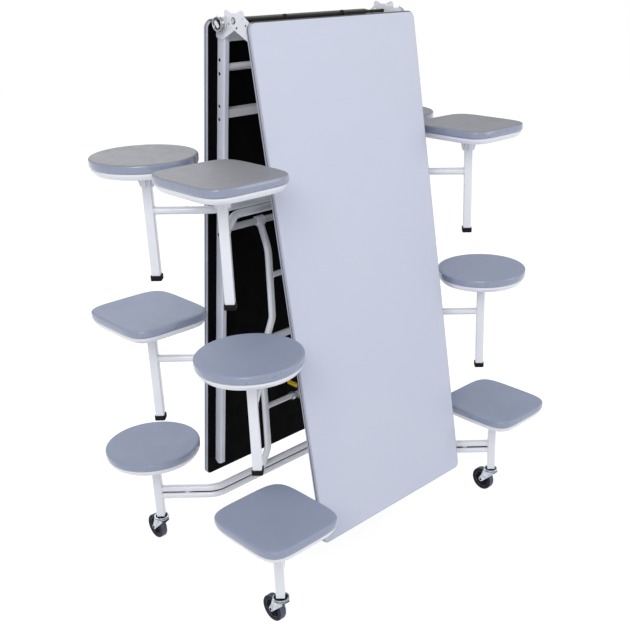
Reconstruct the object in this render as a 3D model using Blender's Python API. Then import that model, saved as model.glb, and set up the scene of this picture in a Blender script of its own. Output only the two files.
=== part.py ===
"""Mobile folding table with twelve fixed stools, stored folded on four casters.

Metres, +Z up. X runs along the table's width, Y along the fold, and the origin is on the
floor under the middle. Two table tops lean together at a centre hinge. Each top carries
three stool frames on pivot bars, and a levelling rod keeps them upright as the top swings
down. The front half is the back half turned by half a turn, apart from its seat shapes,
the casters and the lock. In a leaf's own frame y is the distance from the hinge axis
towards the working face and -z runs down the leaf. In a stool frame's own frame the
origin is on its pivot bar and +y points away from the middle.
"""
import math

import bpy
import bmesh
from mathutils import Matrix, Vector
from mathutils.geometry import intersect_point_line

# Table tops
TOP_LENGTH = 1.832
TOP_WIDTH = 0.760
TOP_THICKNESS = 0.020
TOP_CORNER = 0.035
TOP_GAP = 0.0134
LEAN = math.radians(8.0)
FACE_OFFSET = 0.1168

# Stool frames, their pivots and the seats
STOOL_SPACING = 0.585
FIRST_PIVOT = 0.1525
PIVOT_DEPTH = 0.045
PIVOT_BAR_RADIUS = 0.0127
PIVOT_BAR_WALL = 0.002
SEAT_HEIGHT = 0.451
SEAT_DROP = 0.267
SEAT_REACH = 0.118
SEAT_OVERHANG = 0.218
SEAT_RADIUS = 0.180
SQUARE_HALF_X = 0.169
SQUARE_HALF_Y = 0.187
ROUND_POWER = 2.0
SQUARE_POWER = 3.6
PAD_THICKNESS = 0.030
PAD_LIP = 0.006
PAD_EDGE = 0.013
PAD_ROUND = 0.012
PAN_DEPTH = 0.021
PAN_INSET = 0.004
PAN_TAPER = 0.009
PAN_WALL = 0.0025

# Posts, cross bars and uprights
POST_SIZE = 0.032
POST_CHAMFER = 0.004
BRACKET_HALF = 0.041
BRACKET_FOOT = 0.023
BRACKET_HEIGHT = 0.080
BRACKET_THICKNESS = 0.004
ARM_RADIUS = 0.014
ARM_DROP = 0.194
ARM_SET_BACK = 0.165
ARM_BEND = 0.080
LOW_ARM_RADIUS = 0.0125
LOW_ARM_DROP = 0.224
LOW_ARM_GAP = 0.003
LOW_ARM_WELD = 0.008
BOW_RADIUS = 0.0135
BOW_TOP_X = 0.160
BOW_FOOT_X = 0.200
BOW_DEPTH = 0.046
BOW_FOOT_RISE = 0.105
BOW_BEND = 0.070
UPRIGHT_BEND_DROP = 0.085
STRETCHER_RADIUS = 0.011
STRETCHER_DROP = 0.188
SLEEVE_WALL = 0.005
SLEEVE_LENGTH = 0.036

# Feet
FOOT_CLEARANCE = 0.006
FOOT_WALL = 0.003
FOOT_FLOOR = 0.005
FOOT_HEIGHT = 0.020

# Casters
WHEEL_RADIUS = 0.050
WHEEL_WIDTH = 0.028
WHEEL_SHOULDER = 0.005
WHEEL_RECESS = 0.005
WHEEL_RIM = 0.014
HUB_RADIUS = 0.014
HUB_WIDTH = 0.031
WHEEL_AXLE_RADIUS = 0.004
CASTER_TRAIL = 0.040
CASTER_HEIGHT = 0.116
FORK_WALL = 0.0025
FORK_EYE = 0.010
FORK_HEEL = 0.008
FORK_SHOULDER = 0.018
CROWN_RADIUS = 0.026
CROWN_THICKNESS = 0.004
CROWN_DROP = 0.009
RACE_RADIUS = 0.030
KINGPIN_RADIUS = 0.006
KINGPIN_LENGTH = 0.008

# Under the table tops
RAIL_INSET = 0.040
RAIL_WIDTH = 0.018
RAIL_DEPTH = 0.042
RAIL_WALL = 0.003
RAIL_START = 0.036
RAIL_STOP = 0.052
RAIL_POINT = 0.012
HEAD_RAIL_PLACE = 0.0476
HEAD_RAIL_SIZE = 0.034
CROSS_RAIL_PLACE = 0.309
CROSS_RAIL_SIZE = 0.028
CROSS_RAIL_WIDTH = 0.030
CROSS_RAIL_WALL = 0.002

# Centre hinge
PLATE_THICKNESS = 0.004
PLATE_EYE = 0.024
PLATE_TIP = 0.011
PLATE_TIP_Y = -0.0326
PLATE_TIP_Z = 0.0268
PLATE_SHOULDER = 0.010
PLATE_SHOULDER_Y = 0.0461
PLATE_HOLE = 0.003
PLATE_LAP = 0.036
AXLE_RADIUS = 0.006
AXLE_HEAD_RADIUS = 0.011
AXLE_HEAD_LENGTH = 0.007
SPRING_Y = 0.0597
SPRING_Z = -0.0205
SPRING_RADIUS = 0.0215
SPRING_WIRE = 0.0024
SPRING_GAP = 0.0006
SPRING_TURNS = 3
SPRING_END_ANGLE = math.radians(60.0)
SPRING_LEG = 0.026
SPRING_NECK = 0.0085
SPRING_HUB = 0.015
SPRING_FLANGE = 0.002

# Levelling rods
CRANK_Y = -0.035
CRANK_Z = -0.038
ROD_HALF_WIDTH = 0.010
ROD_THICKNESS = 0.006
ROD_PIN_RADIUS = 0.005
ROD_SPACE = 0.003
EAR_THICKNESS = 0.005
EAR_HUB = 0.012

# Lock
LOCK_X = -0.060
LOCK_THICKNESS = 0.006
LOCK_HUB_WALL = 0.005
LOCK_HUB_WIDTH = 0.016
LOCK_ARM_HALF = 0.008
LOCK_ARM_RISE = 0.012
LOCK_HOOK_WALL = 0.008
LOCK_HOOK_PLAY = 0.001
LOCK_HOOK_LIP = 0.003
LOCK_HANDLE_RISE = 0.058
LOCK_HANDLE_BACK = 0.049
LOCK_HANDLE_REACH = 0.016
LOCK_HANDLE_HALF = 0.007

# Fits and mesh fineness
MILLIMETRE = 0.001
FIT = 0.0003
OVERRUN = 0.002
MERGE = 0.000001
TRIANGLE = 3
SMOOTH_ANGLE = math.radians(35.0)
SEAT_POINTS = 24
TUBE_SIDES = 8
ROUND_SIDES = 12
WHEEL_SIDES = 16
BEND_STEPS = 3
UPRIGHT_STEPS = 2
CORNER_STEPS = 5
COIL_STEPS = 9
COIL_SIDES = 6

LEVELS = ("upper", "middle", "lower")
HALF_TURNS = {"back": 0.0, "front": math.pi}
SEAT_SHAPES = {"front": ("square", "round", "square"), "back": ("round", "square", "round")}
SEAT_FORMS = {"round": (SEAT_RADIUS, SEAT_RADIUS, ROUND_POWER),
              "square": (SQUARE_HALF_X, SQUARE_HALF_Y, SQUARE_POWER)}

# Places worked out from the sizes above
RAIL_X = TOP_WIDTH / 2 - RAIL_INSET
SEAT_X = TOP_WIDTH / 2 + SEAT_OVERHANG
PIVOT_Y = FACE_OFFSET - PIVOT_DEPTH
PIVOTS = [TOP_GAP + FIRST_PIVOT + STOOL_SPACING * level for level in range(len(LEVELS))]
PIVOT_HEIGHT = SEAT_HEIGHT + SEAT_DROP
HINGE_Z = PIVOT_HEIGHT + PIVOTS[-1] * math.cos(LEAN) - PIVOT_Y * math.sin(LEAN)
TOP_UNDERSIDE = FACE_OFFSET - TOP_THICKNESS
RAIL_HIGH = TOP_UNDERSIDE - FIT
RAIL_LOW = RAIL_HIGH - RAIL_DEPTH
OUTER_RAIL_X = RAIL_X + PLATE_THICKNESS + FIT
HINGE_OUTSIDE = OUTER_RAIL_X + FIT + PLATE_THICKNESS + FIT
ARM_Y = SEAT_REACH - ARM_SET_BACK
BOW_Y = ARM_Y - BOW_DEPTH
PAN_TOP = -SEAT_DROP - PAD_THICKNESS - FIT
POST_TOP = PAN_TOP - PAN_WALL / 2
FOOT_BOTTOM = FOOT_CLEARANCE - PIVOT_HEIGHT
ROD_X = BOW_TOP_X - BOW_RADIUS - ROD_SPACE - ROD_THICKNESS


def material(name, colour, roughness, metallic=0.0):
    """One plain Principled material."""
    mat = bpy.data.materials.new(name)
    mat.use_nodes = True
    shader = mat.node_tree.nodes["Principled BSDF"]
    shader.inputs["Base Color"].default_value = (*colour, 1.0)
    shader.inputs["Roughness"].default_value = roughness
    shader.inputs["Metallic"].default_value = metallic
    mat.diffuse_color = (*colour, 1.0)
    return mat


def make_materials():
    return {
        "laminate": material("laminate", (0.60, 0.61, 0.72), 0.45),
        "frame": material("frame", (0.80, 0.82, 0.86), 0.35),
        "seat": material("seat", (0.27, 0.31, 0.40), 0.45),
        "rubber": material("rubber", (0.02, 0.02, 0.02), 0.70),
        "zinc": material("zinc", (0.62, 0.62, 0.60), 0.35, 1.0),
        "dark_steel": material("dark_steel", (0.05, 0.05, 0.05), 0.40, 1.0),
        "wheel": material("wheel", (0.05, 0.055, 0.065), 0.55),
        "yellow": material("yellow", (0.75, 0.55, 0.03), 0.45),
    }


# Solids built from rings of points
def loft(rings, closed=False):
    """A solid through rings of equal length, capped, or joined end to end if closed."""
    bm = bmesh.new()
    rows = [[bm.verts.new(point) for point in ring] for ring in rings]
    count = len(rows[0])
    following = rows[1:] + rows[:1] if closed else rows[1:]
    for low, high in zip(rows, following):
        for index in range(count):
            after = (index + 1) % count
            bm.faces.new((low[index], low[after], high[after], high[index]))
    if not closed:
        bm.faces.new(list(reversed(rows[0])))
        bm.faces.new(rows[-1])
    bmesh.ops.recalc_face_normals(bm, faces=bm.faces)
    return bm


def circle_ring(centre, side, up, radius, sides):
    """Points round a centre, in the plane of side and up, with a flat at the bottom."""
    turn = 2 * math.pi / sides
    ring = []
    for index in range(sides):
        angle = (index + 0.5) * turn
        ring.append(centre + side * (radius * math.cos(angle)) + up * (radius * math.sin(angle)))
    return ring


def tube(path, radius, sides=TUBE_SIDES):
    """A round bar along a path, its sections carried along without twisting."""
    points = [Vector(point) for point in path]
    heading = (points[1] - points[0]).normalized()
    side = heading.orthogonal().normalized()
    rings = []
    for index, point in enumerate(points):
        before = points[max(index - 1, 0)]
        after = points[min(index + 1, len(points) - 1)]
        ahead = (after - before).normalized()
        side = (side - ahead * side.dot(ahead)).normalized()
        rings.append(circle_ring(point, side, ahead.cross(side), radius, sides))
    return loft(rings)


def rounded_path(corners, radius, steps=BEND_STEPS):
    """The line through the corners, with each inner corner turned into an arc."""
    points = [Vector(corner) for corner in corners]
    path = [points[0]]
    for before, corner, after in zip(points, points[1:], points[2:]):
        back = (before - corner).normalized()
        ahead = (after - corner).normalized()
        turn = math.pi - back.angle(ahead)
        reach = min(radius * math.tan(turn / 2), (before - corner).length / 2,
                    (after - corner).length / 2)
        bend = reach / math.tan(turn / 2)
        middle = corner + (back + ahead).normalized() * (bend / math.cos(turn / 2))
        start = corner + back * reach - middle
        axis = ahead.cross(back).normalized()
        for step in range(steps + 1):
            path.append(middle + Matrix.Rotation(turn * step / steps, 3, axis) @ start)
    path.append(points[-1])
    return path


def bar_x(low, high, y, z, radius, sides=ROUND_SIDES):
    """A round bar along X."""
    side, up = Vector((0, 1, 0)), Vector((0, 0, 1))
    return loft([circle_ring(Vector((x, y, z)), side, up, radius, sides) for x in (low, high)])


def bore_radius(radius, sides=ROUND_SIDES):
    """The corner radius of a faceted hole whose flats clear a round bar by the fit."""
    return (radius + FIT) / math.cos(math.pi / sides)


def lathe_x(profile, y, z, sides):
    """A ring turned about an axis along X, from a closed profile of (x, radius)."""
    side, up = Vector((0, 1, 0)), Vector((0, 0, 1))
    rings = [circle_ring(Vector((x, y, z)), side, up, radius, sides) for x, radius in profile]
    return loft(rings, closed=True)


def prism_x(outline, low, high):
    """An outline of (y, z) points drawn out along X."""
    return loft([[Vector((x, y, z)) for y, z in outline] for x in (low, high)])


def hull_outline(circles, sides=ROUND_SIDES):
    """The convex outline round circles given as (y, z, radius)."""
    cloud = set()
    for y, z, radius in circles:
        for index in range(sides):
            angle = index * 2 * math.pi / sides
            cloud.add((y + radius * math.cos(angle), z + radius * math.sin(angle)))
    ordered = sorted(cloud)
    return half_hull(ordered) + half_hull(ordered[::-1])


def half_hull(points):
    """One side of the convex outline of sorted points, without its last point."""
    chain = []
    for point in points:
        while len(chain) > 1 and not turns_left(chain[-2], chain[-1], point):
            chain.pop()
        chain.append(point)
    return chain[:-1]


def turns_left(first, second, third):
    """True where the way from first over second to third turns clearly to the left."""
    run = Vector(second) - Vector(first)
    rise = Vector(third) - Vector(second)
    return run.x * rise.y - run.y * rise.x > MERGE * MERGE


def square_ring(half, chamfer, centre, z):
    """A square with cut corners, turned so that a flat faces along each arm."""
    flat = half - chamfer
    corners = ((half, -flat), (half, flat), (flat, half), (-flat, half),
               (-half, flat), (-half, -flat), (-flat, -half), (flat, -half))
    swing = Matrix.Rotation(math.pi / 4, 2)
    turned = [swing @ Vector(corner) for corner in corners]
    return [Vector((centre[0] + corner.x, centre[1] + corner.y, z)) for corner in turned]


# Objects and Booleans
def as_object(bm, name):
    mesh = bpy.data.meshes.new(name)
    bm.to_mesh(mesh)
    bm.free()
    piece = bpy.data.objects.new(name, mesh)
    bpy.context.scene.collection.objects.link(piece)
    return piece


def discard(piece):
    mesh = piece.data
    bpy.data.objects.remove(piece)
    bpy.data.meshes.remove(mesh)


def combine(base, tools, operation):
    """Joins a solid with others, or cuts it by them, and closes the slits that this leaves."""
    piece = as_object(base, "work")
    for tool in tools:
        other = as_object(tool, "tool")
        boolean = piece.modifiers.new("boolean", "BOOLEAN")
        boolean.solver = "EXACT"
        boolean.operation = operation
        boolean.object = other
        evaluated = piece.evaluated_get(bpy.context.evaluated_depsgraph_get())
        result = bpy.data.meshes.new_from_object(evaluated)
        old = piece.data
        piece.modifiers.clear()
        piece.data = result
        bpy.data.meshes.remove(old)
        discard(other)
    bm = bmesh.new()
    bm.from_mesh(piece.data)
    bmesh.ops.remove_doubles(bm, verts=bm.verts, dist=MERGE)
    slits = [edge for edge in bm.edges if edge.is_boundary]
    bmesh.ops.holes_fill(bm, edges=slits, sides=TRIANGLE)
    discard(piece)
    return bm


def union(base, tools):
    return combine(base, tools, "UNION")


def cut(base, tools):
    return combine(base, tools, "DIFFERENCE")


def place(bm, name, mat, parent):
    """Puts a finished solid in its own named object under its parent."""
    piece = as_object(bm, name)
    piece.data.materials.append(mat)
    piece.data.shade_smooth()
    piece.data.set_sharp_from_angle(angle=SMOOTH_ANGLE)
    piece.parent = parent
    return piece


def joint_empty(name, location, turn=(0.0, 0.0, 0.0), parent=None):
    """An empty on a joint's axis, which carries the pieces that move about it."""
    empty = bpy.data.objects.new(name, None)
    empty.location = location
    empty.rotation_euler = turn
    empty.parent = parent
    bpy.context.scene.collection.objects.link(empty)
    return empty


def side_name(half, side):
    """Left and right as seen from the front, for a side in the half's own frame."""
    return "left" if (side < 0) == (half == "back") else "right"


# Table tops and what is fixed to them
def table_top():
    """The board, with rounded corners, its working face on the +y side."""
    half = TOP_WIDTH / 2 - TOP_CORNER
    high = -TOP_GAP - TOP_CORNER
    low = -TOP_GAP - TOP_LENGTH + TOP_CORNER
    centres = ((half, high, 0), (-half, high, 1), (-half, low, 2), (half, low, 3))
    outline = []
    for x, z, quarter in centres:
        for step in range(CORNER_STEPS + 1):
            angle = (quarter + step / CORNER_STEPS) * math.pi / 2
            outline.append((x + TOP_CORNER * math.cos(angle), z + TOP_CORNER * math.sin(angle)))
    faces = [[Vector((x, y, z)) for x, z in outline] for y in (TOP_UNDERSIDE, FACE_OFFSET)]
    return loft(faces)


def rail_outside(side):
    """The rails' outer faces step out by one plate where the plate is the outer one."""
    return -RAIL_X if side < 0 else OUTER_RAIL_X


def side_rail(side):
    """A channel open to the middle, cut to a point at its lower end."""
    web = rail_outside(side)
    lip = web - side * RAIL_WIDTH
    inner = web - side * RAIL_WALL
    middle = (RAIL_LOW + RAIL_HIGH) / 2
    outline = ((web, middle), (web, RAIL_HIGH), (lip, RAIL_HIGH), (lip, RAIL_HIGH - RAIL_WALL),
               (inner, RAIL_HIGH - RAIL_WALL), (inner, middle), (inner, RAIL_LOW + RAIL_WALL),
               (lip, RAIL_LOW + RAIL_WALL), (lip, RAIL_LOW), (web, RAIL_LOW))
    end = -TOP_GAP - TOP_LENGTH + RAIL_STOP
    slope = RAIL_POINT / (RAIL_DEPTH / 2)
    bm = bmesh.new()
    top = [bm.verts.new((x, y, -RAIL_START)) for x, y in outline]
    foot = [bm.verts.new((x, y, end + slope * abs(y - middle))) for x, y in outline]
    count = len(outline)
    for index in range(count):
        after = (index + 1) % count
        bm.faces.new((top[index], top[after], foot[after], foot[index]))
    bm.faces.new(top)
    bm.faces.new(foot[:6])
    bm.faces.new(foot[5:] + foot[:1])
    bmesh.ops.recalc_face_normals(bm, faces=bm.faces)
    return bm


def between_rails():
    """The ends of a bar that spans the two rails' webs."""
    low = rail_outside(-1) + RAIL_WALL + FIT
    high = rail_outside(1) - RAIL_WALL - FIT
    return low, high


def pivot_bar(level):
    """The round tube that a stool frame's sleeves turn on."""
    low, high = between_rails()
    inner = PIVOT_BAR_RADIUS - PIVOT_BAR_WALL
    profile = ((low, inner), (low, PIVOT_BAR_RADIUS), (high, PIVOT_BAR_RADIUS), (high, inner))
    return lathe_x(profile, PIVOT_Y, -PIVOTS[level], ROUND_SIDES)


def cross_rail(place, size):
    """A rectangular tube that ties the rails together, at a place down the leaf."""
    low, high = between_rails()
    y = (RAIL_LOW + RAIL_HIGH) / 2
    z = -TOP_GAP - place
    rings = []
    for x, wall in ((low, CROSS_RAIL_WALL), (low, 0.0), (high, 0.0), (high, CROSS_RAIL_WALL)):
        wide = CROSS_RAIL_WIDTH / 2 - wall
        tall = size / 2 - wall
        rings.append([Vector((x, y - wide, z - tall)), Vector((x, y + wide, z - tall)),
                      Vector((x, y + wide, z + tall)), Vector((x, y - wide, z + tall))])
    return loft(rings, closed=True)


# Centre hinge
def hinge_plate(side):
    """One arm of the crossed plates, with the spring's hub on the inner plates."""
    low_y = RAIL_LOW + PLATE_SHOULDER
    high_y = RAIL_HIGH - PLATE_SHOULDER
    lap_z = -RAIL_START - PLATE_LAP + PLATE_SHOULDER
    circles = ((PLATE_TIP_Y, PLATE_TIP_Z, PLATE_TIP), (0.0, 0.0, PLATE_EYE),
               (PLATE_SHOULDER_Y, 0.0, PLATE_SHOULDER), (high_y, -RAIL_START, PLATE_SHOULDER),
               (high_y, lap_z, PLATE_SHOULDER), (low_y, lap_z, PLATE_SHOULDER))
    inside = rail_outside(side) + side * FIT
    outside = inside + side * PLATE_THICKNESS
    plate = prism_x(hull_outline(circles), inside, outside)
    start = inside - side * OVERRUN
    end = outside + side * OVERRUN
    holes = [bar_x(start, end, 0.0, 0.0, bore_radius(AXLE_RADIUS))]
    for y, z in ((PLATE_TIP_Y, PLATE_TIP_Z), (PLATE_SHOULDER_Y, 0.0)):
        holes.append(bar_x(start, end, y, z, PLATE_HOLE, TUBE_SIDES))
    plate = cut(plate, holes)
    if side > 0:
        return plate
    flange = -HINGE_OUTSIDE
    hub_start = flange - SPRING_FLANGE
    hub_end = hub_start - spring_length() - SPRING_FLANGE
    flange_radius = SPRING_RADIUS + SPRING_WIRE
    plate_middle = (inside + outside) / 2
    flange_middle = (flange + hub_start) / 2
    parts = [bar_x(plate_middle, flange_middle, SPRING_Y, SPRING_Z, SPRING_NECK),
             bar_x(flange, hub_start, SPRING_Y, SPRING_Z, flange_radius),
             bar_x(flange_middle, hub_end, SPRING_Y, SPRING_Z, SPRING_HUB)]
    return union(plate, parts)


def spring_wind():
    """The spring's pitch along its hub, and the angle that it winds through."""
    return 2 * SPRING_WIRE + SPRING_GAP, SPRING_TURNS * 2 * math.pi + SPRING_END_ANGLE


def spring_length():
    """The wound length of the spring, wire included."""
    pitch, wound = spring_wind()
    return pitch * wound / (2 * math.pi) + 2 * SPRING_WIRE


def spring_path():
    """The line of the wire: its turns, with a straight leg at each end."""
    pitch, wound = spring_wind()
    start_x = -HINGE_OUTSIDE - SPRING_FLANGE - FIT - SPRING_WIRE
    steps = round(COIL_STEPS * wound / (2 * math.pi))
    coil = []
    for step in range(steps + 1):
        angle = wound * step / steps
        coil.append(Vector((start_x - pitch * angle / (2 * math.pi),
                            SPRING_Y + SPRING_RADIUS * math.cos(angle),
                            SPRING_Z + SPRING_RADIUS * math.sin(angle))))
    leaving = Vector((0, -math.sin(wound), math.cos(wound)))
    first = coil[0] + Vector((0, 0, -SPRING_LEG))
    last = coil[-1] + leaving * SPRING_LEG
    return [first] + coil + [last]


def least_gap(path, radius):
    """The least clear distance of a wound tube to its own turns, from points to runs."""
    apart = COIL_STEPS // 2
    distances = []
    for near, point in enumerate(path):
        for far in range(near + apart, len(path) - 1):
            start, end = path[far], path[far + 1]
            share = intersect_point_line(point, start, end)[1]
            nearest = start.lerp(end, min(max(share, 0.0), 1.0))
            distances.append((point - nearest).length)
    return min(distances) - 2 * radius


def hinge_spring():
    """A torsion spring round the hub, as one unbroken wire."""
    path = spring_path()
    millimetres = least_gap(path, SPRING_WIRE) / MILLIMETRE
    print(f"hinge spring: least gap to itself {millimetres:.2f} mm")
    return tube(path, SPRING_WIRE, COIL_SIDES)


def centre_axle():
    """The hinge's through axle with its heads and the ears for the levelling rods."""
    axle = bar_x(-HINGE_OUTSIDE - OVERRUN, HINGE_OUTSIDE + OVERRUN, 0.0, 0.0, AXLE_RADIUS)
    ear_high = ROD_X - ROD_SPACE
    ear_low = ear_high - EAR_THICKNESS
    pin_end = ROD_X + ROD_THICKNESS + ROD_SPACE / 2
    parts = []
    for side in (-1, 1):
        head = side * HINGE_OUTSIDE
        parts.append(bar_x(head, head + side * AXLE_HEAD_LENGTH, 0.0, 0.0, AXLE_HEAD_RADIUS,
                           TUBE_SIDES))
        pin_y = side * CRANK_Y
        outline = hull_outline(((0.0, 0.0, EAR_HUB), (pin_y, CRANK_Z, ROD_HALF_WIDTH)))
        parts.append(prism_x(outline, side * ear_low, side * ear_high))
        parts.append(bar_x(side * (ear_low + ear_high) / 2, side * pin_end, pin_y, CRANK_Z,
                           ROD_PIN_RADIUS, TUBE_SIDES))
    return union(axle, parts)


def level_rod():
    """The flat bar beside a leaf that holds its three stool frames upright."""
    places = [(0.0, 0.0)] + [(PIVOT_Y, -pivot) for pivot in PIVOTS]
    head, first, last = places[0], places[1], places[-1]
    high = ROD_X + ROD_THICKNESS
    rod = prism_x(hull_outline(((*head, ROD_HALF_WIDTH), (*first, ROD_HALF_WIDTH))), ROD_X, high)
    bar = prism_x(hull_outline(((*first, ROD_HALF_WIDTH), (*last, ROD_HALF_WIDTH))), ROD_X, high)
    holes = [bar_x(ROD_X - OVERRUN, high + OVERRUN, y, z, bore_radius(ROD_PIN_RADIUS))
             for y, z in places]
    return cut(union(rod, [bar]), holes)


# Stool frames and seats
def seat_ring(shape, inset, centre, z):
    """The seat's outline seen from above, round or nearly square with bowed sides."""
    half_x, half_y, power = SEAT_FORMS[shape]
    ring = []
    for index in range(SEAT_POINTS):
        angle = index * 2 * math.pi / SEAT_POINTS
        across, along = math.cos(angle), math.sin(angle)
        reach = (abs(across) ** power + abs(along) ** power) ** (-1 / power)
        ring.append(Vector((centre[0] + (half_x - inset) * reach * across,
                            centre[1] + (half_y - inset) * reach * along, z)))
    return ring


def seat_pad(shape, centre):
    """The seat pad, flat on top with a rolled edge, just above its pan."""
    top = -SEAT_DROP
    bottom = top - PAD_THICKNESS
    profile = ((PAD_LIP, bottom), (0.0, bottom + PAD_LIP), (0.0, top - PAD_ROUND),
               (PAD_EDGE, top))
    return loft([seat_ring(shape, inset, centre, z) for inset, z in profile])


def seat_pan(shape, centre):
    """The dish under a pad, tapering in and open underneath."""
    low = PAN_TOP - PAN_DEPTH
    profile = ((PAN_INSET, PAN_TOP), (PAN_INSET + PAN_TAPER, low),
               (PAN_INSET + PAN_TAPER + PAN_WALL, low),
               (PAN_INSET + 2 * PAN_WALL, PAN_TOP - PAN_WALL))
    return loft([seat_ring(shape, inset, centre, z) for inset, z in profile])


def post(centre, bottom):
    half = POST_SIZE / 2
    return loft([square_ring(half, POST_CHAMFER, centre, z) for z in (bottom, POST_TOP)])


def seat_brackets(centre):
    """Two crossed gussets that widen from the post up to the pan."""
    low = POST_TOP - BRACKET_HEIGHT
    half = BRACKET_THICKNESS / 2
    gussets = []
    for angle in (math.pi / 4, 3 * math.pi / 4):
        turn = Matrix.Translation((*centre, 0.0)) @ Matrix.Rotation(angle, 4, "Z")
        outline = ((-BRACKET_HALF, POST_TOP), (-BRACKET_FOOT, low), (BRACKET_FOOT, low),
                   (BRACKET_HALF, POST_TOP))
        gussets.append(loft([[turn @ Vector((x, y, z)) for x, z in outline]
                             for y in (-half, half)]))
    return gussets


def arm_corners(z):
    """The plan of a cross bar: straight in the middle, its ends bent out to the posts."""
    knee = SEAT_X - ARM_SET_BACK
    return ((-SEAT_X, SEAT_REACH, z), (-knee, ARM_Y, z), (knee, ARM_Y, z),
            (SEAT_X, SEAT_REACH, z))


def arm_heights(level):
    """The cross bar's height, or the heights of the lowest frame's two."""
    if LEVELS[level] != "lower":
        return [-SEAT_DROP - ARM_DROP]
    offset = LOW_ARM_RADIUS + LOW_ARM_GAP / 2
    return [-SEAT_DROP - LOW_ARM_DROP + offset, -SEAT_DROP - LOW_ARM_DROP - offset]


def arm_tubes(level):
    heights = arm_heights(level)
    radius = ARM_RADIUS if len(heights) == 1 else LOW_ARM_RADIUS
    return [tube(rounded_path(arm_corners(z), ARM_BEND), radius) for z in heights]


def arm_welds(level):
    """Short bridges between the lowest frame's two cross bars."""
    heights = arm_heights(level)
    if len(heights) == 1:
        return []
    centres = []
    for side in (-1, 1):
        centres.append((side * (SEAT_X - ARM_SET_BACK / 2), SEAT_REACH - ARM_SET_BACK / 2))
        centres.append((side * BOW_FOOT_X, ARM_Y))
    return [loft([square_ring(LOW_ARM_WELD, LOW_ARM_WELD / 2, centre, z) for z in heights])
            for centre in centres]


def upright_path(level, side):
    """An upright from the cross bar to its sleeve on the pivot bar."""
    foot_z = arm_heights(level)[0]
    if LEVELS[level] == "upper":
        foot = ((side * BOW_TOP_X, ARM_Y, foot_z), (side * BOW_TOP_X, ARM_Y, -UPRIGHT_BEND_DROP))
    else:
        foot = ((side * BOW_FOOT_X, ARM_Y, foot_z),
                (side * BOW_FOOT_X, BOW_Y, foot_z + BOW_FOOT_RISE),
                (side * BOW_FOOT_X, BOW_Y, -UPRIGHT_BEND_DROP))
    return rounded_path(foot + ((side * BOW_TOP_X, 0.0, 0.0),), BOW_BEND, UPRIGHT_STEPS)


def uprights(level):
    """Both uprights with their sleeves, the rod's ear and pin, and the stretcher."""
    parts = [tube(upright_path(level, side), BOW_RADIUS) for side in (-1, 1)]
    sleeve = bore_radius(PIVOT_BAR_RADIUS) + SLEEVE_WALL
    for side in (-1, 1):
        low = side * BOW_TOP_X - SLEEVE_LENGTH / 2
        parts.append(bar_x(low, low + SLEEVE_LENGTH, 0.0, 0.0, sleeve))
    ear_low = ROD_X + ROD_THICKNESS + ROD_SPACE
    ear = hull_outline(((0.0, 0.0, EAR_HUB), (CRANK_Y, CRANK_Z, ROD_HALF_WIDTH)))
    parts.append(prism_x(ear, ear_low, ear_low + EAR_THICKNESS))
    parts.append(bar_x(ROD_X - ROD_SPACE / 2, ear_low + EAR_THICKNESS / 2, CRANK_Y, CRANK_Z,
                       ROD_PIN_RADIUS, TUBE_SIDES))
    if LEVELS[level] != "upper":
        parts.append(bar_x(-BOW_FOOT_X, BOW_FOOT_X, BOW_Y, -STRETCHER_DROP, STRETCHER_RADIUS,
                           TUBE_SIDES))
    return parts


def stool_frame(level, shape):
    """A welded frame: two posts with pans, the cross bar and two hinged uprights."""
    lower = LEVELS[level] == "lower"
    bottom = CASTER_HEIGHT - PIVOT_HEIGHT if lower else FOOT_BOTTOM + FOOT_FLOOR + FIT
    parts = []
    for side in (-1, 1):
        centre = (side * SEAT_X, SEAT_REACH)
        parts += [post(centre, bottom), seat_pan(shape, centre)] + seat_brackets(centre)
        if lower:
            kingpin = [circle_ring(Vector((*centre, z)), Vector((1, 0, 0)), Vector((0, 1, 0)),
                                   KINGPIN_RADIUS, TUBE_SIDES)
                       for z in (bottom + OVERRUN, bottom - KINGPIN_LENGTH)]
            parts.append(loft(kingpin))
    parts += arm_welds(level) + uprights(level)
    arms = arm_tubes(level)
    frame = union(arms[0], arms[1:] + parts)
    bores = []
    for side in (-1, 1):
        middle = side * BOW_TOP_X
        reach = SLEEVE_LENGTH / 2 + OVERRUN
        bores.append(bar_x(middle - reach, middle + reach, 0.0, 0.0, bore_radius(PIVOT_BAR_RADIUS)))
    return cut(frame, bores)


def foot(centre):
    """A rubber cup pressed on a post's end."""
    inner = POST_SIZE / 2 + FIT
    outer = inner + FOOT_WALL
    floor = FOOT_BOTTOM + FOOT_FLOOR
    rim = FOOT_BOTTOM + FOOT_HEIGHT
    sections = ((outer, FOOT_BOTTOM), (outer, rim), (inner, rim), (inner, floor))
    return loft([square_ring(half, POST_CHAMFER, centre, z) for half, z in sections])


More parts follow.
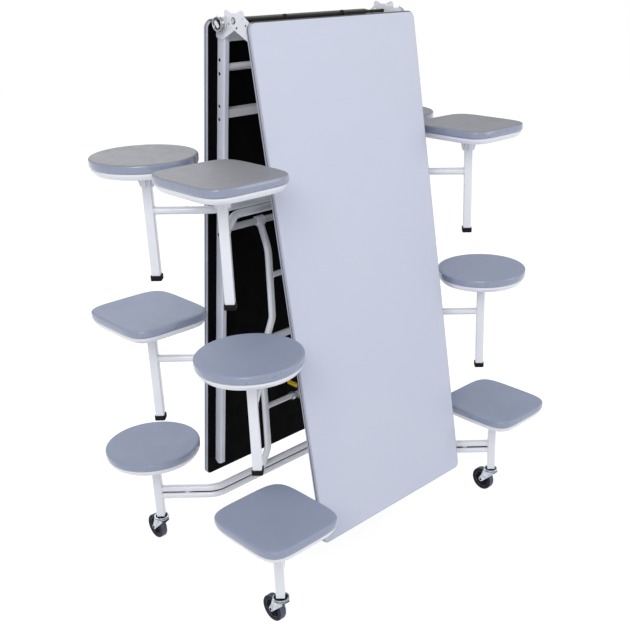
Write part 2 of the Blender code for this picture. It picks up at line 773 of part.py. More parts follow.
# Casters
def caster_fork(trail):
    """The swivel race, crown and two fork legs with the wheel's axle, trail along y."""
    side, up = Vector((1, 0, 0)), Vector((0, 1, 0))
    race_low = CASTER_HEIGHT - FIT - CROWN_DROP
    crown_low = race_low - CROWN_THICKNESS
    inside = HUB_WIDTH / 2 + FIT
    outside = inside + FORK_WALL

    def disc(radius, low, high, sides=ROUND_SIDES):
        return loft([circle_ring(Vector((0, 0, z)), side, up, radius, sides) for z in (low, high)])

    crown = disc(CROWN_RADIUS, crown_low, race_low + OVERRUN / 2)
    parts = [disc(RACE_RADIUS, race_low, CASTER_HEIGHT - FIT)]
    heel = crown_low + CROWN_THICKNESS / 2 - FORK_HEEL / 2
    toward = math.copysign(1.0, trail)
    leg = hull_outline(((-toward * FORK_SHOULDER, heel, FORK_HEEL),
                        (toward * FORK_SHOULDER, heel, FORK_HEEL),
                        (trail, WHEEL_RADIUS, FORK_EYE)), TUBE_SIDES)
    for way in (-1, 1):
        parts.append(prism_x(leg, way * inside, way * outside))
    parts.append(bar_x(-outside - OVERRUN, outside + OVERRUN, trail, WHEEL_RADIUS,
                       WHEEL_AXLE_RADIUS))
    fork = union(crown, parts)
    socket = disc(bore_radius(KINGPIN_RADIUS), CASTER_HEIGHT - KINGPIN_LENGTH - 2 * FIT,
                  CASTER_HEIGHT + OVERRUN)
    return cut(fork, [socket])


def caster_wheel(trail):
    """A solid tyre and hub in one, with recessed sides and a bore for the axle."""
    hub, half = HUB_WIDTH / 2, WHEEL_WIDTH / 2
    bore = bore_radius(WHEEL_AXLE_RADIUS, WHEEL_SIDES)
    tread = WHEEL_RADIUS / math.cos(math.pi / WHEEL_SIDES)
    near = ((-hub, bore), (-hub, HUB_RADIUS), (-half + WHEEL_RECESS, HUB_RADIUS),
            (-half, tread - WHEEL_RIM), (-half, tread - WHEEL_SHOULDER),
            (-half + WHEEL_SHOULDER, tread))
    far = tuple((-x, radius) for x, radius in reversed(near))
    return lathe_x(near + far, trail, WHEEL_RADIUS, WHEEL_SIDES)


# Lock
def lock_span():
    """The distance between the two lowest stretchers, back to front."""
    pivot_y = PIVOT_Y * math.cos(LEAN) + PIVOTS[-1] * math.sin(LEAN)
    return 2 * (pivot_y + BOW_Y)


def lock_hook():
    """A hooked bar that hangs on the back stretcher, with a grip to lift it by."""
    span = lock_span()
    half = LOCK_THICKNESS / 2
    bore = bore_radius(STRETCHER_RADIUS)
    hub = bore + LOCK_HUB_WALL
    mouth = bore_radius(STRETCHER_RADIUS + LOCK_HOOK_PLAY)
    arm = prism_x(hull_outline(((0.0, LOCK_ARM_RISE, LOCK_ARM_HALF),
                                (-span, LOCK_ARM_RISE, LOCK_ARM_HALF))), -half, half)
    parts = [bar_x(-LOCK_HUB_WIDTH / 2, LOCK_HUB_WIDTH / 2, 0.0, 0.0, hub),
             bar_x(-half, half, -span, 0.0, mouth + LOCK_HOOK_WALL)]
    handle = ((-LOCK_HANDLE_BACK, LOCK_ARM_RISE), (-LOCK_HANDLE_BACK, LOCK_HANDLE_RISE),
              (LOCK_HANDLE_REACH, LOCK_HANDLE_RISE))
    for start, end in zip(handle, handle[1:]):
        outline = hull_outline(((*start, LOCK_HANDLE_HALF), (*end, LOCK_HANDLE_HALF)))
        parts.append(prism_x(outline, -half, half))
    hook = union(arm, parts)
    reach = mouth + LOCK_HOOK_WALL + OVERRUN
    below = prism_x(((-span - reach, -reach), (-span + reach, -reach),
                     (-span + reach, -LOCK_HOOK_LIP), (-span - reach, -LOCK_HOOK_LIP)),
                    -half - OVERRUN, half + OVERRUN)
    open_below = prism_x(((-span - mouth, -reach), (-span + mouth, -reach),
                          (-span + mouth, 0.0), (-span - mouth, 0.0)),
                         -half - OVERRUN, half + OVERRUN)
    far = LOCK_HUB_WIDTH / 2 + OVERRUN
    return cut(hook, [bar_x(-far, far, 0.0, 0.0, bore), bar_x(-far, far, -span, 0.0, mouth),
                      open_below, below])


# Assembly
def build_casters(half, frame_empty, mats):
    """The lowest frame's casters. All four trail the same way, as in a straight push."""
    away = 1.0 if half == "back" else -1.0
    trail = away * CASTER_TRAIL
    for side in (-1, 1):
        name = f"{half}_{side_name(half, side)}"
        swivel = joint_empty(f"caster_swivel_{name}", (side * SEAT_X, SEAT_REACH, -PIVOT_HEIGHT),
                             parent=frame_empty)
        place(caster_fork(trail), f"caster_fork_{name}", mats["zinc"], swivel)
        axle = joint_empty(f"caster_axle_{name}", (0.0, trail, WHEEL_RADIUS), parent=swivel)
        wheel = caster_wheel(0.0)
        bmesh.ops.translate(wheel, verts=wheel.verts, vec=(0.0, 0.0, -WHEEL_RADIUS))
        place(wheel, f"caster_wheel_{name}", mats["wheel"], axle)


def build_lock(frame_empty, mats):
    pivot = joint_empty("lock_pivot", (LOCK_X, BOW_Y, -STRETCHER_DROP), parent=frame_empty)
    place(lock_hook(), "lock_hook", mats["yellow"], pivot)


def build_stools(half, level, leaf_empty, mats):
    """One stool frame with its pads and feet, level on its pivot bar."""
    shape = SEAT_SHAPES[half][level]
    row = f"{half}_{LEVELS[level]}"
    empty = joint_empty(f"stool_pivot_{row}", (0.0, PIVOT_Y, -PIVOTS[level]), (-LEAN, 0.0, 0.0),
                        leaf_empty)
    place(stool_frame(level, shape), f"stool_frame_{row}", mats["frame"], empty)
    for side in (-1, 1):
        name = f"{row}_{side_name(half, side)}"
        centre = (side * SEAT_X, SEAT_REACH)
        place(seat_pad(shape, centre), f"seat_{name}", mats["seat"], empty)
        if LEVELS[level] != "lower":
            place(foot(centre), f"foot_{name}", mats["rubber"], empty)
    return empty


def build_half(half, mats):
    """One leaf with its rails, bars, hinge plates, spring, stools and levelling rod."""
    turn = HALF_TURNS[half]
    leaf = joint_empty(f"leaf_hinge_{half}", (0.0, 0.0, HINGE_Z), (LEAN, 0.0, turn))
    place(table_top(), f"table_top_{half}", mats["laminate"], leaf)
    for side in (-1, 1):
        name = f"{half}_{side_name(half, side)}"
        place(side_rail(side), f"side_rail_{name}", mats["frame"], leaf)
        place(hinge_plate(side), f"hinge_plate_{name}", mats["frame"], leaf)
    place(hinge_spring(), f"hinge_spring_{side_name(half, -1)}", mats["dark_steel"], leaf)
    place(cross_rail(HEAD_RAIL_PLACE, HEAD_RAIL_SIZE), f"head_rail_{half}", mats["frame"], leaf)
    place(cross_rail(CROSS_RAIL_PLACE, CROSS_RAIL_SIZE), f"cross_rail_{half}", mats["frame"], leaf)
    for level, level_name in enumerate(LEVELS):
        place(pivot_bar(level), f"pivot_bar_{half}_{level_name}", mats["frame"], leaf)
        empty = build_stools(half, level, leaf, mats)
    build_casters(half, empty, mats)
    if half == "back":
        build_lock(empty, mats)
    crank_y = CRANK_Y * math.cos(turn)
    rod_empty = joint_empty(f"level_rod_pivot_{half}", (0.0, crank_y, HINGE_Z + CRANK_Z),
                            (LEAN, 0.0, turn))
    place(level_rod(), f"level_rod_{half}", mats["zinc"], rod_empty)


def main():
    for piece in list(bpy.data.objects):
        bpy.data.objects.remove(piece, do_unlink=True)
    mats = make_materials()
    hinge = joint_empty("centre_hinge", (0.0, 0.0, HINGE_Z))
    place(centre_axle(), "centre_axle", mats["dark_steel"], hinge)
    for half in ("back", "front"):
        build_half(half, mats)


main()
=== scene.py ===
"""Looks of the folding table with twelve fixed stools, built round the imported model.

Sizes are metres. A leaf's own frame has its origin on the hinge, y towards the working
face and -z down the leaf. A stool frame's own frame has its origin on its pivot bar.
"""
import math

import bmesh
import bpy
from mathutils import Matrix, Vector


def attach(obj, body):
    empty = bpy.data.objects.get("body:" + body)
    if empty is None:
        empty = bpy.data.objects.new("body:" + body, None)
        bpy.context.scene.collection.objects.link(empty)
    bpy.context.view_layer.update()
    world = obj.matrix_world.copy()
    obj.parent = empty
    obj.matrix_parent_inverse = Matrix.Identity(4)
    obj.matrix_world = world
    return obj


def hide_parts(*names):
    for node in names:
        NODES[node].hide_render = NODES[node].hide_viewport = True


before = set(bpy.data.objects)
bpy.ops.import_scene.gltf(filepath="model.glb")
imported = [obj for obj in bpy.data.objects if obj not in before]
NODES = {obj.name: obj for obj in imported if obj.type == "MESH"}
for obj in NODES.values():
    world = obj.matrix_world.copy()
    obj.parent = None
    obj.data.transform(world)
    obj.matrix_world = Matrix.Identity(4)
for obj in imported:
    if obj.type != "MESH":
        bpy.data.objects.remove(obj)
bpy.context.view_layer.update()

SCENE = bpy.context.scene
ACROSS, AWAY, UP = Vector((1, 0, 0)), Vector((0, 1, 0)), Vector((0, 0, 1))
LEVELS = ("upper", "middle", "lower")
TURN = {"back": 0.0, "front": math.pi}

# Sizes of the table tops and the centre hinge
LEAN = math.radians(8.0)
HINGE_Z = 2.030906
HINGE_OUTSIDE = 0.3489
AXLE_RADIUS = 0.006
SPRING_Y = 0.0597
SPRING_Z = -0.0205
FACE = 0.1168
BOARD_LOW = 0.0968
BOARD_EDGE = 0.0035
TOP_GAP = 0.0134
TOP_LENGTH = 1.832
TOP_WIDTH = 0.760
HINGE_CORNER = 0.028
FREE_CORNER = 0.021

# Sizes of the rails and the pivot bars
RAIL_WEB = {-1: -0.340, 1: 0.3443}
RAIL_HIGH = 0.0965
RAIL_LOW = 0.0545
RAIL_WALL = 0.003
RAIL_LIP = 0.018
RAIL_BEND = 0.004
RAIL_START = 0.036
RAIL_STOP = 0.052
RAIL_POINT = 0.012
HOLE_Y = 0.0835
CROSS_RAIL_PLACE = 0.309
PIVOT_Y = 0.0718
PIVOTS = (0.1659, 0.7509, 1.3359)
BAR_RADIUS = 0.0127

# Sizes of the seats and the stool frames
SEAT_X = 0.598
SEAT_Y = 0.118
SEAT_TOP = -0.267
SEAT_ROUND = 0.008
PAN_TOP = -0.2973
PAN_LOW = PAN_TOP - 0.021
# Half width, half depth and power of the outline, which is squarer for a higher power
FORMS = {"round": (0.180, 0.180, 2.0), "square": (0.1613, 0.1800, 5.1)}
SHAPES = {"front": ("square", "round", "square"), "back": ("round", "square", "round")}
POST_HALF = 0.016
ARM_Y = -0.047
ARM_RADIUS = 0.014
ARM_HEIGHTS = ((-0.461,), (-0.461,), (-0.477, -0.5075))
KNEE_X = 0.433
BOW_X = 0.160
BOW_FOOT_X = 0.200
BOW_Y = -0.093
BOW_RADIUS = 0.0135
BEND_DROP = 0.085
CRANK_Y = -0.035
CRANK_Z = -0.038
ROD_X = 0.1375
PIVOT_HEIGHT = 0.718
STRETCHER_Z = -0.188
STRETCHER_RADIUS = 0.011

# Sizes of the casters
CASTER_HEIGHT = 0.116
WHEEL_RADIUS = 0.050
WHEEL_HALF = 0.014
TYRE_ROUND = 0.005
TRAIL = 0.040
FORK_INSIDE = 0.0158
FORK_OUTSIDE = 0.0183
RACE_RADIUS = 0.0262

# How the finishes are made
COAT_ROUGHNESS = 0.10
GRAIN_HEIGHT = 0.0004
CLOUD_RANGE = (0.32, 0.68)
GLOSS_RANGE = (0.3, 0.7)
MIX_FIRST, MIX_SECOND, MIX_RESULT = 6, 7, 2


# Materials
def rgb(red, green, blue):
    """A linear colour from the 0 to 255 values that it should render as."""
    shares = [value / 255 for value in (red, green, blue)]
    linear = [s / 12.92 if s <= 0.04045 else ((s + 0.055) / 1.055) ** 2.4 for s in shares]
    return (*linear, 1.0)


def finish(name, first, second, cloud, grain, rough, bump, metallic=0.0, coat=0.0,
           stretch=(1.0, 1.0, 1.0), shine=0.5):
    """A surface with clouded colour, uneven roughness and a fine grain."""
    mat = bpy.data.materials.new(name)
    mat.use_nodes = True
    nodes, links = mat.node_tree.nodes, mat.node_tree.links
    shader = nodes["Principled BSDF"]
    shader.inputs["Metallic"].default_value = metallic
    shader.inputs["Coat Weight"].default_value = coat
    shader.inputs["Coat Roughness"].default_value = COAT_ROUGHNESS
    shader.inputs["Specular IOR Level"].default_value = shine
    place = nodes.new("ShaderNodeTexCoord")
    scale = nodes.new("ShaderNodeMapping")
    scale.inputs["Scale"].default_value = stretch
    links.new(place.outputs["Object"], scale.inputs["Vector"])

    def noise(size, detail):
        node = nodes.new("ShaderNodeTexNoise")
        node.inputs["Scale"].default_value = size
        node.inputs["Detail"].default_value = detail
        links.new(scale.outputs["Vector"], node.inputs["Vector"])
        return node.outputs["Fac"]

    def spread(value, within, between):
        node = nodes.new("ShaderNodeMapRange")
        for socket, number in zip(("From Min", "From Max", "To Min", "To Max"), within + between):
            node.inputs[socket].default_value = number
        links.new(value, node.inputs["Value"])
        return node.outputs["Result"]

    clouds = noise(cloud, 4.0)
    fine = noise(grain, 2.0)
    colour = nodes.new("ShaderNodeMix")
    colour.data_type = "RGBA"
    colour.inputs[MIX_FIRST].default_value = first
    colour.inputs[MIX_SECOND].default_value = second
    links.new(spread(clouds, CLOUD_RANGE, (0.0, 1.0)), colour.inputs["Factor"])
    links.new(colour.outputs[MIX_RESULT], shader.inputs["Base Color"])
    links.new(spread(noise(cloud * 6, 3.0), GLOSS_RANGE, rough), shader.inputs["Roughness"])
    relief = nodes.new("ShaderNodeBump")
    relief.inputs["Strength"].default_value = bump
    relief.inputs["Distance"].default_value = GRAIN_HEIGHT
    links.new(fine, relief.inputs["Height"])
    links.new(relief.outputs["Normal"], shader.inputs["Normal"])
    return mat


LAMINATE = finish("laminate_face", rgb(203, 207, 223), rgb(200, 205, 221), 2.2, 900,
                  (0.38, 0.46), 0.08)
BAND = finish("edge_band", rgb(178, 181, 194), rgb(172, 176, 189), 9, 700, (0.38, 0.5), 0.12)
SEAM = finish("edge_seam", rgb(108, 106, 122), rgb(100, 98, 114), 9, 700, (0.5, 0.6), 0.12)
BACKER = finish("black_backer", rgb(2, 2, 4), rgb(6, 6, 8), 3, 500, (0.7, 0.85), 0.25,
                shine=0.06)
# Dark grey for the edge band at the hinge end: painted shade of the gap between the leaves.
GAP_SHADE_EDGE = finish("painted_gap_shade_edge", rgb(96, 97, 92), rgb(88, 89, 84), 9, 700, (0.5, 0.62), 0.12,
                    shine=0.2)
# A darker copy of the powder coat for the pivot bars, head rails and cross rails: painted shade of
# the inside of the frame.
BAR_PAINTED_SHADE = finish("bar_paint_painted_shade", rgb(208, 210, 214), rgb(202, 204, 208), 4, 420, (0.34, 0.42), 0.12,
             shine=0.4)
PAINT = finish("powder_coat", rgb(234, 235, 242), rgb(231, 232, 239), 4, 420, (0.34, 0.42),
               0.08, coat=0.9)
# A darker copy of the powder coat for the side rails: painted shade under the tops.
RAIL_PAINTED_SHADE = finish("rail_paint_painted_shade", rgb(220, 222, 235), rgb(216, 218, 231), 4, 420, (0.34, 0.42), 0.08,
              coat=0.3)
SEAT = finish("moulded_seat", rgb(152, 160, 181), rgb(148, 156, 177), 5, 650, (0.5, 0.6),
              0.18, shine=0.22)
SEAT_EDGE = finish("seat_edge", rgb(138, 147, 170), rgb(134, 143, 166), 5, 650, (0.26, 0.34),
                   0.06, coat=1.0)
# A neutral grey copy of the seat colour for the upper seats' tops: painted reflection of the room,
# as seen at a grazing angle.
UPPER_SEAT_PAINTED_REFLECTION = finish("moulded_seat_upper_painted_reflection", rgb(147, 148, 153), rgb(143, 144, 149), 5, 650,
                    (0.5, 0.6), 0.18, shine=0.18)
# Black rubber for the caps and plugs, also used as painted shade in the gap between double cross
# bars.
RUBBER_AND_PAINTED_SHADE = finish("black_rubber_and_painted_shade", rgb(9, 9, 11), rgb(15, 15, 17), 14, 900, (0.6, 0.8), 0.4,
                shine=0.2)
ZINC = finish("zinc_plate", rgb(214, 219, 227), rgb(160, 167, 176), 70, 700, (0.24, 0.42), 0.2,
              metallic=1.0)
SPRING_STEEL = finish("spring_steel", rgb(206, 208, 212), rgb(160, 162, 168), 30, 900,
                      (0.2, 0.34), 0.15, metallic=1.0, stretch=(6.0, 1.0, 1.0))
AXLE = finish("oiled_steel", rgb(26, 26, 24), rgb(34, 34, 31), 24, 800, (0.5, 0.65), 0.2,
              shine=0.25)
# Black for screws, nuts, plugs and pins, also used as painted shade in the caster race's grooves.
BLACK_SCREW_AND_PAINTED_SHADE = finish("black_screw_and_painted_shade", rgb(8, 8, 11), rgb(14, 14, 17), 60, 900, (0.55, 0.7), 0.2,
                     shine=0.2)
TYRE = finish("grey_tyre", rgb(72, 75, 92), rgb(64, 67, 84), 22, 900, (0.5, 0.64), 0.3)
WALL = finish("tyre_wall", rgb(30, 34, 48), rgb(24, 28, 41), 22, 900, (0.5, 0.65), 0.3,
              shine=0.15)
HUB = finish("black_hub", rgb(10, 11, 14), rgb(16, 17, 21), 22, 900, (0.5, 0.62), 0.3,
             shine=0.12)
YELLOW = finish("yellow_grip", rgb(240, 206, 40), rgb(232, 192, 32), 18, 600, (0.34, 0.46), 0.2)


# Building meshes
def quarter_turn(steps):
    """Evenly spaced angles from nothing to a right angle."""
    return [step / steps * math.pi / 2 for step in range(steps + 1)]


def ring(centre, side, up, radius, sides):
    """Points on a circle in the plane of two directions."""
    points = []
    for index in range(sides):
        angle = index * 2 * math.pi / sides
        points.append(centre + side * (radius * math.cos(angle)) + up * (radius * math.sin(angle)))
    return points


def skin(bm, rings, mat=0, closed=False):
    """Faces through rings of equal length, with caps unless the last ring joins the first."""
    rows = [[bm.verts.new(point) for point in points] for points in rings]
    count = len(rows[0])
    following = rows[1:] + rows[:1] if closed else rows[1:]
    for low, high in zip(rows, following):
        for index in range(count):
            after = (index + 1) % count
            face = bm.faces.new((low[index], low[after], high[after], high[index]))
            face.material_index = mat
    if not closed:
        for row in (list(reversed(rows[0])), rows[-1]):
            bm.faces.new(row).material_index = mat
    return rows


def sweep(bm, path, radius, sides=28):
    """A round bar along a path, its sections carried along without twisting."""
    points = [Vector(point) for point in path]
    side = (points[1] - points[0]).orthogonal().normalized()
    rings = []
    for index, point in enumerate(points):
        before = points[max(index - 1, 0)]
        after = points[min(index + 1, len(points) - 1)]
        ahead = (after - before).normalized()
        side = (side - ahead * side.dot(ahead)).normalized()
        rings.append(ring(point, side, ahead.cross(side), radius, sides))
    skin(bm, rings)


def rounded_path(corners, radius, steps=12):
    """The line through the corners, with each inner corner turned into an arc."""
    points = [Vector(corner) for corner in corners]
    path = [points[0]]
    for before, corner, after in zip(points, points[1:], points[2:]):
        back = (before - corner).normalized()
        ahead = (after - corner).normalized()
        turn = math.pi - back.angle(ahead)
        reach = min(radius * math.tan(turn / 2), (before - corner).length / 2,
                    (after - corner).length / 2)
        bend = reach / math.tan(turn / 2)
        middle = corner + (back + ahead).normalized() * (bend / math.cos(turn / 2))
        start = corner + back * reach - middle
        axis = ahead.cross(back).normalized()
        for step in range(steps + 1):
            path.append(middle + Matrix.Rotation(turn * step / steps, 3, axis) @ start)
    path.append(points[-1])
    return path


def lathe(bm, profile, centre, axis, sides=40, mat=0, closed=False):
    """A turned form from (distance along the axis, radius) pairs."""
    side = axis.orthogonal().normalized()
    up = axis.cross(side)
    least = 0.00005
    rings = [ring(centre + axis * along, side, up, max(radius, least), sides)
             for along, radius in profile]
    skin(bm, rings, mat, closed)


def rounded_square(half, corner, centre, z, steps=5):
    """A square with rounded corners at a height, turned so that a flat faces each arm."""
    turn = Matrix.Rotation(math.pi / 4, 2)
    flat = half - corner
    points = []
    for quarter, (x, y) in enumerate(((1, 1), (-1, 1), (-1, -1), (1, -1))):
        for step in range(steps + 1):
            angle = (quarter + step / steps) * math.pi / 2
            spot = turn @ Vector((x * flat + corner * math.cos(angle),
                                  y * flat + corner * math.sin(angle)))
            points.append(Vector((centre[0] + spot.x, centre[1] + spot.y, z)))
    return points


def bead(bm, centre, axis, radius, thick=0.0022):
    """A rippled weld round a bar."""
    axis = axis.normalized()
    side = axis.orthogonal().normalized()
    up = axis.cross(side)
    rings = []
    count = 36
    for index in range(count):
        angle = index * 2 * math.pi / count
        out = side * math.cos(angle) + up * math.sin(angle)
        swell = thick * (1 + 0.16 * math.sin(angle * 18) + 0.1 * math.sin(angle * 3))
        rings.append(ring(centre + out * radius, out, axis, swell, 8))
    skin(bm, rings, closed=True)


def screw(bm, spot, axis, radius, height, mat=0):
    """A domed screw head with a recess, standing on a surface."""
    profile = ((0.0, radius), (height * 0.35, radius), (height * 0.8, radius * 0.8),
               (height, radius * 0.52), (height * 0.45, radius * 0.46), (height * 0.4, 0.0))
    lathe(bm, profile, spot, axis.normalized(), 20, mat)


def hex_nut(bm, spot, axis, radius, height, mat):
    """A chamfered hexagon head."""
    lathe(bm, ((0.0, radius), (height * 0.8, radius), (height, radius * 0.86), (height, 0.0)),
          spot, axis.normalized(), 6, mat)


def hull_outline(circles, sides=64):
    """The convex outline round circles given as (y, z, radius)."""
    cloud = set()
    for y, z, radius in circles:
        for index in range(sides):
            angle = index * 2 * math.pi / sides
            cloud.add((y + radius * math.cos(angle), z + radius * math.sin(angle)))
    ordered = sorted(cloud)
    return half_hull(ordered) + half_hull(ordered[::-1])


def half_hull(points):
    """One side of the convex outline of sorted points, without its last point."""
    chain = []
    for point in points:
        while len(chain) > 1:
            (ax, ay), (bx, by) = chain[-2], chain[-1]
            if (bx - ax) * (point[1] - by) - (by - ay) * (point[0] - bx) > 1e-9:
                break
            chain.pop()
        chain.append(point)
    return chain[:-1]


def along_x(bm, outline, places):
    """An outline of (y, z) points drawn out along X."""
    skin(bm, [[Vector((x, y, z)) for y, z in outline] for x in places])


def prism(outline, low, high):
    """An outline of (y, z) points drawn out along X, as its own mesh."""
    bm = bmesh.new()
    along_x(bm, outline, (low, high))
    bmesh.ops.recalc_face_normals(bm, faces=bm.faces)
    return bm


def rod_x(low, high, y, z, radius, sides):
    """A rod along X, as its own mesh."""
    bm = bmesh.new()
    skin(bm, [ring(Vector((x, y, z)), AWAY, UP, radius, sides) for x in (low, high)])
    bmesh.ops.recalc_face_normals(bm, faces=bm.faces)
    return bm


def as_object(bm, name):
    """Turns a mesh under construction into an object of the scene."""
    mesh = bpy.data.meshes.new(name)
    bm.to_mesh(mesh)
    bm.free()
    obj = bpy.data.objects.new(name, mesh)
    SCENE.collection.objects.link(obj)
    return obj


def combine(base, tools, operation):
    """Joins or cuts closed meshes with exact Booleans."""
    work = as_object(base, "work")
    for tool in tools:
        other = as_object(tool, "tool")
        modifier = work.modifiers.new("boolean", "BOOLEAN")
        modifier.solver = "EXACT"
        modifier.operation = operation
        modifier.object = other
        evaluated = work.evaluated_get(bpy.context.evaluated_depsgraph_get())
        result = bpy.data.meshes.new_from_object(evaluated)
        work.modifiers.clear()
        work.data = result
        bpy.data.objects.remove(other)
    bm = bmesh.new()
    bm.from_mesh(work.data)
    bmesh.ops.remove_doubles(bm, verts=bm.verts, dist=1e-6)
    bpy.data.objects.remove(work)
    return bm


def piece(bm, name, mats, body, matrix, nodes=(), bevel=0.0, angle=35.0):
    """Puts a mesh in place as a named piece on a body, standing for CAD nodes."""
    bmesh.ops.recalc_face_normals(bm, faces=bm.faces)
    bm.transform(matrix)
    obj = as_object(bm, name)
    for mat in mats:
        obj.data.materials.append(mat)
    if bevel:
        soften(obj, bevel)
    obj.data.shade_smooth()
    obj.data.set_sharp_from_angle(angle=math.radians(angle))
    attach(obj, body)
    if nodes:
        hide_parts(*nodes)


def soften(obj, width):
    """Small rounded edges, kept as a modifier."""
    modifier = obj.modifiers.new("edges", "BEVEL")
    modifier.width = width
    modifier.segments = 2
    modifier.limit_method = "ANGLE"
    modifier.angle_limit = math.radians(40)
    modifier.harden_normals = False


def leaf_place(half):
    """Where a leaf's own frame lies in the scene."""
    return (Matrix.Translation((0, 0, HINGE_Z)) @ Matrix.Rotation(TURN[half], 4, "Z")
            @ Matrix.Rotation(LEAN, 4, "X"))


def stool_place(half, level):
    """Where a stool frame's own frame lies in the scene."""
    return (leaf_place(half) @ Matrix.Translation((0, PIVOT_Y, -PIVOTS[level]))
            @ Matrix.Rotation(-LEAN, 4, "X"))


def side_name(half, side):
    """Left or right as seen from the front, for a side in the half's own frame."""
    return "left" if (side < 0) == (half == "back") else "right"


# Table tops
def top_outline(inset, y):
    """The outline of a table top at one depth, set in from its edge."""
    points = []
    steps = 16
    for quarter, side in enumerate((1, -1, -1, 1)):
        if quarter < 2:
            corner, z = HINGE_CORNER, -TOP_GAP - HINGE_CORNER
        else:
            corner, z = FREE_CORNER, -TOP_GAP - TOP_LENGTH + FREE_CORNER
        x = side * (TOP_WIDTH / 2 - corner)
        radius = corner - inset
        for step in range(steps + 1):
            angle = (quarter + step / steps) * math.pi / 2
            points.append(Vector((x + radius * math.cos(angle), y, z + radius * math.sin(angle))))
    return points


def table_top(half):
    """A board with a laminate face, a black underside and a grooved edge band."""
    mats = (LAMINATE, BAND, BACKER, GAP_SHADE_EDGE, SEAM)
    laminate, band, backer, gap_shade, seam = range(len(mats))
    flatten = 0.8
    sections = [(0.0060, BOARD_LOW), (0.0032, BOARD_LOW)]
    sections += [(BOARD_EDGE * (1 - math.sin(angle)) * flatten,
                  BOARD_LOW + BOARD_EDGE * (1 - math.cos(angle))) for angle in quarter_turn(5)]
    middle = (BOARD_LOW + FACE) / 2
    groove = [(0.0, middle - 0.0024), (0.0007, middle - 0.0020), (0.0007, middle + 0.0020),
              (0.0, middle + 0.0024)]
    first = len(sections)
    sections += groove
    sections += [(BOARD_EDGE * (1 - math.cos(angle)) * flatten,
                  FACE - BOARD_EDGE * (1 - math.sin(angle))) for angle in quarter_turn(5)]
    sections += [(0.0034, FACE - 0.0001), (0.0037, FACE - 0.0004), (0.0041, FACE - 0.0001)]
    bm = bmesh.new()
    rows = skin(bm, [top_outline(inset, y) for inset, y in sections], band)
    bm.faces.ensure_lookup_table()
    bm.faces[-2].material_index = backer
    bm.faces[-1].material_index = laminate
    under = rows[0] + rows[1]
    grooved = sum(rows[first:first + len(groove)], [])
    hinge_end = -TOP_GAP - 0.006
    for face in bm.faces:
        if all(vert in under for vert in face.verts):
            face.material_index = backer
        # The band's faces at the hinge end take the dark grey, which is painted shade of the gap
        # between the leaves.
        if face.material_index == band and all(vert.co.z > hinge_end for vert in face.verts):
            face.material_index = gap_shade
        if all(vert in grooved for vert in face.verts):
            face.material_index = seam
    piece(bm, f"table_top_finished_{half}", mats, f"{half}_leaf", leaf_place(half),
          (f"table_top_{half}",))


# Rails and bars under the tops
def rail_holes():
    """How far down a leaf its rails have screw holes, a pair at each bar they carry."""
    bars = (PIVOTS[0], TOP_GAP + CROSS_RAIL_PLACE, PIVOTS[1], PIVOTS[2])
    return [bar + offset for bar in bars for offset in (-0.0235, 0.0225)]


def side_rail(half, side):
    """A folded channel with rounded corners, pointed at its lower end and drilled."""
    web = RAIL_WEB[side]
    middle = (RAIL_LOW + RAIL_HIGH) / 2
    half_depth = (RAIL_HIGH - RAIL_LOW) / 2
    lip = web - side * RAIL_LIP
    bend = web - side * RAIL_BEND
    outer, inner = [], []
    for y, way in ((RAIL_HIGH, 1), (RAIL_LOW, -1)):
        ends = ((lip, y), (lip, y - way * RAIL_WALL))
        corner = []
        for angle in quarter_turn(4)[::way]:
            across, along = side * math.sin(angle), way * math.cos(angle)
            corner.append(tuple((bend + across * radius, y - way * RAIL_BEND + along * radius)
                                for radius in (RAIL_BEND, RAIL_BEND - RAIL_WALL)))
        pairs = [ends] + corner if way > 0 else corner + [ends]
        outer += [pair[0] for pair in pairs]
        inner += [pair[1] for pair in pairs]
        if way > 0:
            outer.append((web, middle))
            inner.append((web - side * RAIL_WALL, middle))
    end = -TOP_GAP - TOP_LENGTH + RAIL_STOP
    section = outer + inner[::-1]
    bm = bmesh.new()
    rows = [[bm.verts.new((x, y, -RAIL_START)) for x, y in section],
            [bm.verts.new((x, y, end + RAIL_POINT * abs(y - middle) / half_depth))
             for x, y in section]]
    count = len(section)
    for index in range(count):
        after = (index + 1) % count
        bm.faces.new((rows[0][index], rows[0][after], rows[1][after], rows[1][index]))
    for row in rows:
        for index in range(len(outer) - 1):
            bm.faces.new((row[index], row[index + 1], row[count - 2 - index],
                          row[count - 1 - index]))
    bmesh.ops.recalc_face_normals(bm, faces=bm.faces)
    low, high = sorted((web - side * 0.006, web + side * 0.003))
    bm = combine(bm, [rod_x(low, high, HOLE_Y, -place, 0.0060, 24) for place in rail_holes()],
                 "DIFFERENCE")
    name = f"{half}_{side_name(half, side)}"
    # The rail's darker paint is painted shade.
    piece(bm, f"side_rail_finished_{name}", (RAIL_PAINTED_SHADE,), f"{half}_leaf",
          leaf_place(half), (f"side_rail_{name}",), bevel=0.0005)


def rail_screws(half):
    """Screws that hold the rails to the board, and black plugs in the rails' holes."""
    bm = bmesh.new()
    first, spacing, count = 0.095, 0.208, 9
    plug = ((-0.0064, 0.0), (-0.0064, 0.0057), (-0.0010, 0.0057), (-0.0010, 0.0044),
            (-0.0022, 0.0040), (-0.0022, 0.0))
    for side in (-1, 1):
        web = RAIL_WEB[side]
        for index in range(count):
            spot = Vector((web - side * 0.0115, RAIL_HIGH - RAIL_WALL, -first - index * spacing))
            screw(bm, spot, -AWAY, 0.0040, 0.0024)
        for place in rail_holes():
            lathe(bm, plug, Vector((web, HOLE_Y, -place)), ACROSS * side, 24, 1)
    piece(bm, f"rail_screws_{half}", (ZINC, BLACK_SCREW_AND_PAINTED_SHADE), f"{half}_leaf",
          leaf_place(half))


